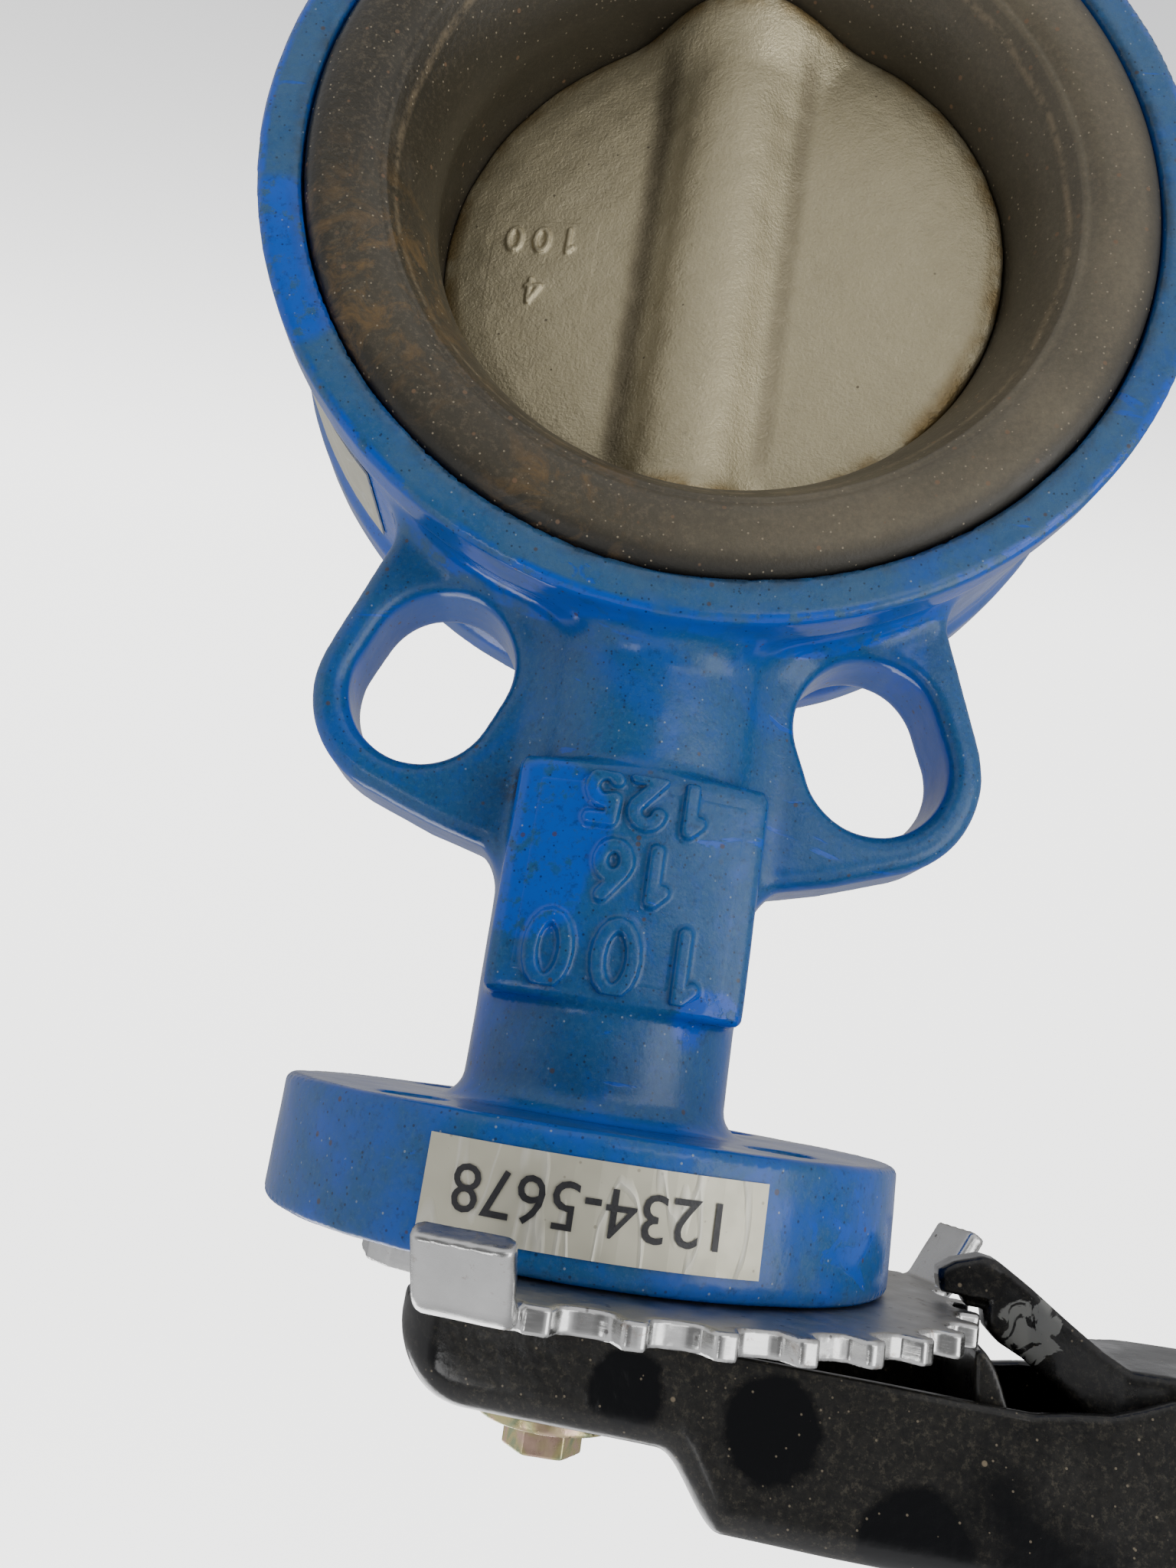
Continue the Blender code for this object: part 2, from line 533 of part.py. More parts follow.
def side_solid(name, outline, half_width, head_radius, web_radius, steps, parent, surface=None):
    """Extrude a side view (x, z) to a bar and round the edges along its web and its two ends.

    The outline starts at the head end of the open side, and runs along the open side first."""
    shape = bmesh.new()
    corners = [shape.verts.new((x, -half_width, z)) for x, z in outline]
    face = shape.faces.new(corners)
    grown = bmesh.ops.extrude_face_region(shape, geom=[face])
    moved = [item for item in grown["geom"] if isinstance(item, bmesh.types.BMVert)]
    bmesh.ops.translate(shape, vec=(0.0, 2 * half_width, 0.0), verts=moved)
    low_x = min(x for x, _ in outline)
    high_x = max(x for x, _ in outline)

    def at_end(edge):
        return all(abs(vert.co.x - low_x) < 1e-5 for vert in edge.verts) or \
            all(abs(vert.co.x - high_x) < 1e-5 for vert in edge.verts)

    uprights = [edge for edge in shape.edges
                if at_end(edge) and abs(edge.verts[0].co.y - edge.verts[1].co.y) < 1e-6]
    round_edges(shape, uprights, head_radius, steps + 1)
    bmesh.ops.recalc_face_normals(shape, faces=shape.faces)
    web = [edge for edge in shape.edges if edge.is_manifold and
           max(f.normal.z for f in edge.link_faces) > 0.5 > min(f.normal.z for f in edge.link_faces)
           and min(f.normal.z for f in edge.link_faces) > -0.5]
    round_edges(shape, web, web_radius, steps)
    bmesh.ops.remove_doubles(shape, verts=shape.verts, dist=1e-6)
    return from_bmesh(name, shape, surface, parent)


def lever_side(inset):
    """Side view of the lever (x, z): a shallow head over the stem, a step, and a deeper grip."""
    head = LEVER_HEAD_END + inset
    tip = LEVER_LENGTH - inset
    if inset:
        open_side = [(head, 0.1600), (tip, 0.1600)]
    else:
        open_side = [(head, LEVER_EDGE), (0.0660, LEVER_EDGE), (0.0740, LEVER_EDGE - 0.0016),
                     (0.0860, LEVER_GRIP_EDGE), (tip, LEVER_GRIP_EDGE - 0.0010)]
    web = [(tip, 0.1925 - inset), (0.0900, 0.1945 - inset), (0.0262 - inset * 0.3, LEVER_GRIP_WEB - inset),
           (0.0232 + inset * 0.2, LEVER_GRIP_WEB - 0.0012 - inset),
           (0.0176 + inset * 0.3, LEVER_HEAD_WEB + 0.0012 - inset),
           (0.0150 + inset * 0.3, LEVER_HEAD_WEB - inset), (head, LEVER_HEAD_WEB - inset)]
    return open_side + web


def lever_handle(parent):
    lever = side_solid("lever_handle", lever_side(0.0), LEVER_HALF_WIDTH, 0.0085, 0.0042, 3, parent,
                       BLACK_ENAMEL)
    inner = LEVER_HALF_WIDTH - LEVER_SHEET
    hollow = side_solid("lever_hollow", lever_side(LEVER_SHEET), inner, 0.0060, 0.0020, 2, parent)
    stem_hole = rod("lever_bolt_hole", BOLT_RADIUS + GAP, 0.1800, 0.1950, 16, parent=parent)
    hang_hole = rod("lever_hang_hole", 0.0045, 0.1850, 0.2000, 16, parent=parent, centre=(0.2270, 0.0))
    cut(lever, hollow, stem_hole, hang_hole, pivot_hole("lever_pin_hole", parent))


def pivot_hole(name, parent):
    """The cutter for the trigger pin's hole."""
    hole = rod(name, PIN_RADIUS + GAP, -0.0250, 0.0250, 16, parent=parent)
    hole.rotation_euler.x = math.radians(90)
    hole.location = (PIVOT_X, 0.0, PIVOT_Z)
    return hole


def lever_hub(parent):
    """The square socket welded under the lever's web."""
    hub = rod("lever_hub", 0.0128, 0.1705, LEVER_HEAD_WEB - LEVER_SHEET - GAP, 24, BLACK_ENAMEL, parent)
    half = SQUARE / 2 + GAP
    cut(hub, block("hub_square", (-half, -half, 0.1600), (half, half, 0.1900), parent=parent))


def latch_guide(parent):
    """The block across the inside of the lever that faces the rim of the notch plate."""
    top = PLATE_TOP + 0.0003
    side = [(0.0564, top), (0.0579, top), (0.0590, 0.1699), (0.0598, 0.1716), (0.0607, 0.1738), (0.0620, 0.1770),
            (0.0630, 0.1810), (0.0634, 0.1850), (0.0574, 0.1850), (0.0568, 0.1740)]
    half = LEVER_HALF_WIDTH - LEVER_SHEET - GAP
    prism("latch_guide", side, -half, half, BLACK_ENAMEL, parent, turn=SIDEWAYS)


def handle_fixings(parent):
    washer_low = LEVER_HEAD_WEB + GAP
    washer_high = washer_low + 0.0020
    washer = [(BOLT_RADIUS + GAP, washer_low), (WASHER_RADIUS, washer_low),
              (WASHER_RADIUS, washer_high), (BOLT_RADIUS + GAP, washer_high)]
    turned("handle_washer", washer, 24, YELLOW_ZINC, parent)
    hex_bolt("handle_bolt", BOLT_RADIUS, 0.0100, 0.1725, washer_high + GAP, 0.0040, YELLOW_ZINC,
             first=-10, parent=parent)


# ---- trigger ---------------------------------------------------------------------------------------
def trigger_side(inset):
    """Side view of the trigger: nose over the plate's rim, sloping arm, then a long grip web."""
    web = [(0.0525, 0.1606), (0.0548, 0.1590), (0.0585, 0.1577), (0.0606, 0.1580), (0.0650, 0.1607),
           (0.0700, 0.1642), (0.0736, 0.1666), (0.0765, 0.1680), (0.0810, 0.1676),
           (TRIGGER_END, 0.1645)]
    if inset:
        rise = [(x, z + inset) for x, z in web if x > 0.0640]
        return rise[:-1] + [(TRIGGER_END - inset, 0.1645 + inset), (TRIGGER_END - inset, 0.1950),
                            (0.0650, 0.1950)]
    walls = [(TRIGGER_END, 0.1735), (0.1040, 0.1760), (0.1000, 0.1830), (0.0860, 0.1830),
             (0.0790, 0.1790), (0.0700, 0.1736), (0.0645, 0.1701), (0.0615, 0.1688),
             (0.0597, 0.1672), (0.0592, PLATE_BOTTOM - 0.0004), (0.0568, PLATE_BOTTOM - 0.0004),
             (0.0562, PLATE_BOTTOM - 0.0016), (0.0534, PLATE_BOTTOM - 0.0017)]
    return web + walls


def trigger_plan(inset):
    """Plan of the trigger: a narrow nose that widens to the grip."""
    if inset:
        near = [(0.0640, 0.0018), (0.0700, 0.0040), (0.0800, TRIGGER_HALF_WIDTH - inset)]
        far = [(TRIGGER_END - inset, TRIGGER_HALF_WIDTH - inset)]
    else:
        near = [(0.0500, NOSE_HALF_WIDTH), (0.0612, NOSE_HALF_WIDTH + 0.0002), (0.0650, 0.0048),
                (0.0700, 0.0078), (0.0760, 0.0116), (0.0810, TRIGGER_HALF_WIDTH)]
        far = [(TRIGGER_END + 0.0050, TRIGGER_HALF_WIDTH)]
    half = near + far
    return half + [(x, -y) for x, y in reversed(half)]


def trigger_shell(name, inset, parent, surface=None):
    bar = prism(name, trigger_side(inset), -0.0200, 0.0200, surface, parent, turn=SIDEWAYS)
    boolean(bar, prism(name + "_plan", trigger_plan(inset), 0.1500, 0.2050, parent=parent), "INTERSECT")
    return bar


def trigger(parent):
    """The squeeze trigger, built about its pin."""
    shell = trigger_shell("trigger", 0.0, parent, BLACK_ENAMEL)
    hollow = trigger_shell("trigger_hollow", 0.0020, parent)
    relief = []
    for side in (1, -1):
        inner, outer = TONGUE_HALF_WIDTH * side, 0.0100 * side
        relief.append(block(f"tongue_relief_{side}", (0.0480, min(inner, outer), PLATE_BOTTOM - 0.0016),
                            (0.0596, max(inner, outer), PLATE_BOTTOM + 0.0002), parent=parent))
    cut(shell, hollow, pivot_hole("trigger_pin_hole", parent), *relief)


def trigger_pin(parent):
    """The headed pin across the lever."""
    reach = LEVER_HALF_WIDTH + GAP
    head = 0.0046
    profile = [(0.0, -reach - 0.0015), (head, -reach - 0.0008), (head, -reach), (PIN_RADIUS, -reach),
               (PIN_RADIUS, reach), (head, reach), (head, reach + 0.0008), (0.0, reach + 0.0015)]
    pin = turned("trigger_pin", profile, 16, BRIGHT_ZINC, parent, about="Y")
    pin.location = (PIVOT_X, 0.0, PIVOT_Z)


def trigger_spring(parent):
    """The compression spring between the lever's web and the trigger's web."""
    low = 0.1692
    high = 0.1902
    wire = 0.0006
    coil_radius = 0.0042
    turns = 6
    per_turn = 9
    count = turns * per_turn
    curve = bpy.data.curves.new("trigger_spring", "CURVE")
    curve.dimensions = "3D"
    curve.bevel_depth = wire
    curve.bevel_resolution = 1
    curve.use_fill_caps = True
    spline = curve.splines.new("POLY")
    spline.points.add(count)
    for i in range(count + 1):
        angle = 2 * math.pi * i / per_turn
        height = low + wire + (high - low - 2 * wire) * i / count
        spline.points[i].co = (SPRING_X + coil_radius * math.cos(angle), coil_radius * math.sin(angle),
                               height, 1.0)
    curve.materials.append(SPRING_STEEL)
    spring = bpy.data.objects.new("trigger_spring", curve)
    PARTS.objects.link(spring)
    spring.parent = parent


# ---- assembly --------------------------------------------------------------------------------------
valve_body()
seat_liner()
seat_backing_ring()
stem_fittings()
notch_plate()
plate_screws()
curved_label("flange_label", FLANGE_RADIUS, 243.75, 296.25, 0.1508, 0.1618, 14, "Z")
curved_label("body_label", BODY_WAIST, 20.0, 47.0, -0.0115, 0.0115, 8, "Y")

stem_axis = stem_empty()
disc(stem_axis)
stems(stem_axis)
lever_handle(stem_axis)
lever_hub(stem_axis)
latch_guide(stem_axis)
handle_fixings(stem_axis)
trigger_pin(stem_axis)
trigger_spring(stem_axis)
trigger(stem_axis)
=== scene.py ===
import math

import bmesh
import bpy
import numpy as np
from mathutils import Matrix, Vector


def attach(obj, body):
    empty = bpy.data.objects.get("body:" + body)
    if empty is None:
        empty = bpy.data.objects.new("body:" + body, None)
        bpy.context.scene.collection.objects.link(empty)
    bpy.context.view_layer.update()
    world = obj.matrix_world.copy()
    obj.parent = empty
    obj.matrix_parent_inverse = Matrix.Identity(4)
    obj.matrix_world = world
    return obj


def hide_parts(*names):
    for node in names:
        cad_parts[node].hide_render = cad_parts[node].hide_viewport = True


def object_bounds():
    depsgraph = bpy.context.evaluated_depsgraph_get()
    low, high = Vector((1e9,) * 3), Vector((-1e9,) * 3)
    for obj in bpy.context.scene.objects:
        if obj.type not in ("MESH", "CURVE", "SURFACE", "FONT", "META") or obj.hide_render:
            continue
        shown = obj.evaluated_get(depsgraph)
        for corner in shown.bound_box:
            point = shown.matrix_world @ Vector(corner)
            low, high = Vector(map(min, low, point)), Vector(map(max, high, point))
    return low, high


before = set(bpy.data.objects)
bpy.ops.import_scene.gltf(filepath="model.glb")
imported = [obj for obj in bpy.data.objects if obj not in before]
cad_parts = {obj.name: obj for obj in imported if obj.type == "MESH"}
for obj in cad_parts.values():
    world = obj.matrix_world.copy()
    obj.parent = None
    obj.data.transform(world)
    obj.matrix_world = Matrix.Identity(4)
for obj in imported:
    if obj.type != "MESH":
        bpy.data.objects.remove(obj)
cad_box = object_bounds()

# Shapes are written in millimetres, as signed distances (negative inside), and meshed in metres.
MM = 0.001
OPEN = math.radians(10)          # the disc's angle at rest
LEVER_TURN = math.radians(190)   # the lever's own +X, turned about the stem


# ---- distance fields -------------------------------------------------------------------------------
def union(a, b, radius):
    """Two shapes joined with a concave fillet."""
    u, v = np.maximum(radius - a, 0), np.maximum(radius - b, 0)
    return np.maximum(radius, np.minimum(a, b)) - np.sqrt(u * u + v * v)


def overlap(a, b, radius):
    """What two shapes share, with a rounded edge."""
    u, v = np.maximum(radius + a, 0), np.maximum(radius + b, 0)
    return np.minimum(-radius, np.maximum(a, b)) + np.sqrt(u * u + v * v)


def carve(a, b, radius):
    """The first shape less the second, with a rounded edge."""
    return overlap(a, -b, radius)


def polygon(px, py, outline):
    """Signed distance to a closed outline."""
    best = np.full(px.shape, 1e9)
    inside = np.zeros(px.shape, bool)
    for (x0, y0), (x1, y1) in zip(outline, outline[1:] + outline[:1]):
        ex, ey = x1 - x0, y1 - y0
        wx, wy = px - x0, py - y0
        t = np.clip((wx * ex + wy * ey) / (ex * ex + ey * ey), 0, 1)
        best = np.minimum(best, (wx - ex * t) ** 2 + (wy - ey * t) ** 2)
        if ey:
            inside ^= ((y0 > py) != (y1 > py)) & (px < ex * wy / ey + x0)
    return np.where(inside, -1, 1) * np.sqrt(best)


def strokes(px, py, lines):
    """Distance to a set of open polylines."""
    best = np.full(px.shape, 1e9)
    for line in lines:
        for (x0, y0), (x1, y1) in zip(line, line[1:]):
            ex, ey = x1 - x0, y1 - y0
            wx, wy = px - x0, py - y0
            t = np.clip((wx * ex + wy * ey) / (ex * ex + ey * ey), 0, 1)
            best = np.minimum(best, (wx - ex * t) ** 2 + (wy - ey * t) ** 2)
    return np.sqrt(best)


def arc(cx, cy, rx, ry, start, end, steps=8):
    angles = np.radians(np.linspace(start, end, steps + 1))
    return [(cx + rx * math.cos(a), cy + ry * math.sin(a)) for a in angles]


DIGITS = {
    "0": [arc(0.3, 0.5, 0.27, 0.5, 0, 360, 16)],
    "1": [[(0.12, 0.8), (0.32, 1.0), (0.32, 0.0)]],
    "2": [arc(0.3, 0.72, 0.27, 0.28, 170, -25, 8) + [(0.04, 0.0), (0.58, 0.0)]],
    "4": [[(0.45, 0.0), (0.45, 1.0), (0.02, 0.3), (0.6, 0.3)]],
    "5": [[(0.54, 1.0), (0.1, 1.0), (0.07, 0.56)] + arc(0.28, 0.31, 0.29, 0.31, 120, -145, 10)],
    "6": [[(0.45, 1.0), (0.12, 0.56)] + arc(0.3, 0.31, 0.27, 0.31, 145, 505, 14)],
}


def numerals(px, py, text, centre, height, advance=0.78):
    """Distance to stroke numerals, centred on a point."""
    lines = []
    for index, digit in enumerate(text):
        shift = (index - (len(text) - 1) / 2) * advance - 0.3
        for line in DIGITS[digit]:
            lines.append([(centre[0] + (x + shift) * height, centre[1] + (y - 0.5) * height)
                          for x, y in line])
    return strokes(px, py, lines)


def ripple(x, y, z, size, seed=0.0):
    """Smooth wandering waves between about -1 and 1, for cast and pressed surfaces."""
    k = 2 * math.pi / size
    return (np.sin(k * (x + 0.6 * y) + seed) * np.cos(k * (0.9 * z - 0.3 * x) + 1.7 * seed)
            + np.sin(k * (0.7 * y + 1.3 * z) + 2.3 * seed) * np.cos(k * (1.1 * x - 0.5 * z) + seed)) / 2


BLOCK = 8


def skin(name, field, low, high, step, turn=0.0):
    """Mesh the zero surface of a field by surface nets, then pull each vertex onto the surface."""
    low, high = np.array(low, float), np.array(high, float)
    blocks = np.ceil((high - low) / step / BLOCK).astype(int) + 1
    shape = blocks * BLOCK
    corner = np.stack(np.meshgrid(*[np.arange(n) * BLOCK for n in blocks], indexing="ij"), -1).reshape(-1, 3)
    middle = low + (corner + (BLOCK - 1) / 2) * step
    at_middle = field(*middle.T)
    near = np.abs(at_middle) < BLOCK * step * 1.15 + step
    values = np.empty(shape, np.float32)
    view = values.reshape(blocks[0], BLOCK, blocks[1], BLOCK, blocks[2], BLOCK)
    view = view.transpose(0, 2, 4, 1, 3, 5)
    view[...] = np.where(at_middle < 0, -99, 99).reshape(*blocks, 1, 1, 1)
    local = np.stack(np.meshgrid(*[np.arange(BLOCK)] * 3, indexing="ij"), -1).reshape(-1, 3)
    for some in np.array_split(np.flatnonzero(near), max(1, near.sum() // 300)):
        points = low + (corner[some][:, None, :] + local[None]) * step
        got = field(*points.reshape(-1, 3).T).reshape(len(some), BLOCK, BLOCK, BLOCK)
        i, j, k = np.unravel_index(some, blocks)
        view[i, j, k] = got

    inside = values < 0
    cells = np.zeros(shape - 1, np.int8)
    for i in (0, 1):
        for j in (0, 1):
            for k in (0, 1):
                cells += inside[i:shape[0] - 1 + i, j:shape[1] - 1 + j, k:shape[2] - 1 + k]
    active = (cells > 0) & (cells < 8)
    index = np.full(active.shape, -1, np.int32)
    spots = np.argwhere(active)
    index[active] = np.arange(len(spots))
    total = np.zeros((len(spots), 3))
    hits = np.zeros(len(spots))
    for axis in range(3):
        for a in (0, 1):
            for b in (0, 1):
                start = np.insert([a, b], axis, 0)
                end = np.insert([a, b], axis, 1)
                v0 = values[tuple((spots + start).T)]
                v1 = values[tuple((spots + end).T)]
                crossed = (v0 < 0) != (v1 < 0)
                t = np.where(crossed, v0 / np.where(crossed, v0 - v1, 1), 0)
                place = start + t[:, None] * (end - start)
                total += np.where(crossed[:, None], place, 0)
                hits += crossed
    verts = low + (spots + total / hits[:, None]) * step

    quads = []
    for axis in range(3):
        first = np.take(inside, range(shape[axis] - 1), axis)
        second = np.take(inside, range(1, shape[axis]), axis)
        change = np.argwhere(first != second)
        u, v = [n for n in range(3) if n != axis]
        keep = (change[:, u] > 0) & (change[:, v] > 0)
        keep &= (change[:, u] < shape[u] - 1) & (change[:, v] < shape[v] - 1)
        change = change[keep]
        around = []
        for du, dv in ((1, 1), (0, 1), (0, 0), (1, 0)):
            cell = change.copy()
            cell[:, u] -= du
            cell[:, v] -= dv
            around.append(index[tuple(cell.T)])
        ring = np.stack(around, 1)
        outward = first[tuple(change.T)]
        if axis == 1:
            outward = ~outward
        ring[~outward] = ring[~outward][:, ::-1]
        quads.append(ring)
    quads = np.concatenate(quads)

    for _ in range(2):
        here = field(*verts.T)
        nudge = 0.05
        slope = np.stack([field(*(verts + nudge * np.eye(3)[n]).T) - here for n in range(3)], 1) / nudge
        push = here / np.maximum((slope ** 2).sum(1), 0.25)
        verts -= np.clip(push, -step / 2, step / 2)[:, None] * slope

    mesh = bpy.data.meshes.new(name)
    mesh.vertices.add(len(verts))
    mesh.vertices.foreach_set("co", (verts * MM).astype(np.float32).ravel())
    mesh.loops.add(quads.size)
    mesh.loops.foreach_set("vertex_index", quads.astype(np.int32).ravel())
    mesh.polygons.add(len(quads))
    mesh.polygons.foreach_set("loop_start", np.arange(len(quads), dtype=np.int32) * 4)
    mesh.update(calc_edges=True)
    mesh.validate()
    if turn:
        mesh.transform(Matrix.Rotation(turn, 4, "Z"))
    mesh.shade_smooth()
    made = bpy.data.objects.new(name, mesh)
    bpy.context.scene.collection.objects.link(made)
    return made


def place(piece, surface, body, slot, *nodes):
    """Give a piece its material and its body, and hide the frame's nodes that it replaces; the slot is not
    used.
    """
    piece.data.materials.clear()
    piece.data.materials.append(surface)
    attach(piece, body)
    if nodes:
        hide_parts(*nodes)
    return piece


# ---- shader helpers --------------------------------------------------------------------------------
class Shader:
    """A material whose nodes are added by short calls. Sizes are in metres, in the piece's own space."""

    def __init__(self, name):
        self.material = bpy.data.materials.new(name)
        self.material.use_nodes = True
        self.tree = self.material.node_tree
        self.surface = self.tree.nodes["Principled BSDF"]
        coords = self.tree.nodes.new("ShaderNodeTexCoord")
        self.place = coords.outputs["Object"]
        self.normal = coords.outputs["Normal"]

    def plug(self, socket, value):
        if isinstance(value, bpy.types.NodeSocket):
            self.tree.links.new(value, socket)
        elif value is not None:
            if isinstance(value, tuple) and len(value) == 3 and socket.type == "RGBA":
                value = (*value, 1.0)
            socket.default_value = value

    def set(self, **values):
        for key, value in values.items():
            self.plug(self.surface.inputs[key.replace("_", " ")], value)

    def math(self, operation, a, b=None):
        node = self.tree.nodes.new("ShaderNodeMath")
        node.operation = operation
        self.plug(node.inputs[0], a)
        self.plug(node.inputs[1], b)
        return node.outputs[0]

    def noise(self, size, detail=3.0, rough=0.5, stretch=None, distort=0.0):
        place = self.place
        if stretch:
            mapping = self.tree.nodes.new("ShaderNodeMapping")
            self.plug(mapping.inputs["Vector"], place)
            mapping.inputs["Scale"].default_value = stretch
            place = mapping.outputs[0]
        node = self.tree.nodes.new("ShaderNodeTexNoise")
        self.plug(node.inputs["Vector"], place)
        node.inputs["Scale"].default_value = 1.0 / size
        node.inputs["Detail"].default_value = detail
        node.inputs["Roughness"].default_value = rough
        node.inputs["Distortion"].default_value = distort
        return node.outputs["Fac"]

    def cells(self, size, output="Distance"):
        node = self.tree.nodes.new("ShaderNodeTexVoronoi")
        self.plug(node.inputs["Vector"], self.place)
        node.inputs["Scale"].default_value = 1.0 / size
        return node.outputs[output]

    def span(self, value, low, high, to_low=0.0, to_high=1.0, smooth=False):
        node = self.tree.nodes.new("ShaderNodeMapRange")
        node.interpolation_type = "SMOOTHSTEP" if smooth else "LINEAR"
        self.plug(node.inputs["Value"], value)
        node.inputs["From Min"].default_value = low
        node.inputs["From Max"].default_value = high
        node.inputs["To Min"].default_value = to_low
        node.inputs["To Max"].default_value = to_high
        return node.outputs[0]

    def blend(self, factor, a, b):
        node = self.tree.nodes.new("ShaderNodeMix")
        node.data_type = "RGBA"
        self.plug(node.inputs["Factor"], factor)
        self.plug(node.inputs["A"], a)
        self.plug(node.inputs["B"], b)
        return node.outputs["Result"]

    def lerp(self, factor, a, b):
        node = self.tree.nodes.new("ShaderNodeMix")
        node.data_type = "FLOAT"
        self.plug(node.inputs["Factor"], factor)
        self.plug(node.inputs["A"], a)
        self.plug(node.inputs["B"], b)
        return node.outputs["Result"]

    def times(self, a, b):
        return self.math("MULTIPLY", a, b)

    def most(self, a, b):
        return self.math("MAXIMUM", a, b)

    def axis(self, vector, letter):
        node = self.tree.nodes.new("ShaderNodeSeparateXYZ")
        self.plug(node.inputs[0], vector)
        return node.outputs[letter]

    def near(self, centre, radius, soft):
        """1 inside a ball, fading to 0 over its soft skin."""
        node = self.tree.nodes.new("ShaderNodeVectorMath")
        node.operation = "DISTANCE"
        self.plug(node.inputs[0], self.place)
        node.inputs[1].default_value = centre
        return self.span(node.outputs["Value"], radius - soft, radius + soft, 1.0, 0.0, True)

    def radius_about_y(self):
        node = self.tree.nodes.new("ShaderNodeVectorMath")
        node.operation = "MULTIPLY"
        self.plug(node.inputs[0], self.place)
        node.inputs[1].default_value = (1.0, 0.0, 1.0)
        length = self.tree.nodes.new("ShaderNodeVectorMath")
        length.operation = "LENGTH"
        self.plug(length.inputs[0], node.outputs[0])
        return length.outputs["Value"]

    def hollow(self, low, high):
        """1 in a crevice (or, with low above high, on an outer edge)."""
        node = self.tree.nodes.new("ShaderNodeNewGeometry")
        return self.span(node.outputs["Pointiness"], low, high, 0.0, 1.0, True)

    def bump(self, height, strength, depth):
        node = self.tree.nodes.new("ShaderNodeBump")
        node.inputs["Strength"].default_value = strength
        node.inputs["Distance"].default_value = depth
        self.plug(node.inputs["Height"], height)
        return node.outputs["Normal"]


def specks(shade, size, share, reach=0.16):
    """Scattered small spots: the given share of the cells carry one each."""
    pick = shade.tree.nodes.new("ShaderNodeSeparateColor")
    shade.plug(pick.inputs["Color"], shade.cells(size, "Color"))
    some = shade.span(pick.outputs["Red"], 1.0 - share, 1.02 - share)
    return shade.times(shade.span(shade.cells(size), reach, reach * 1.4, 1.0, 0.0), some)


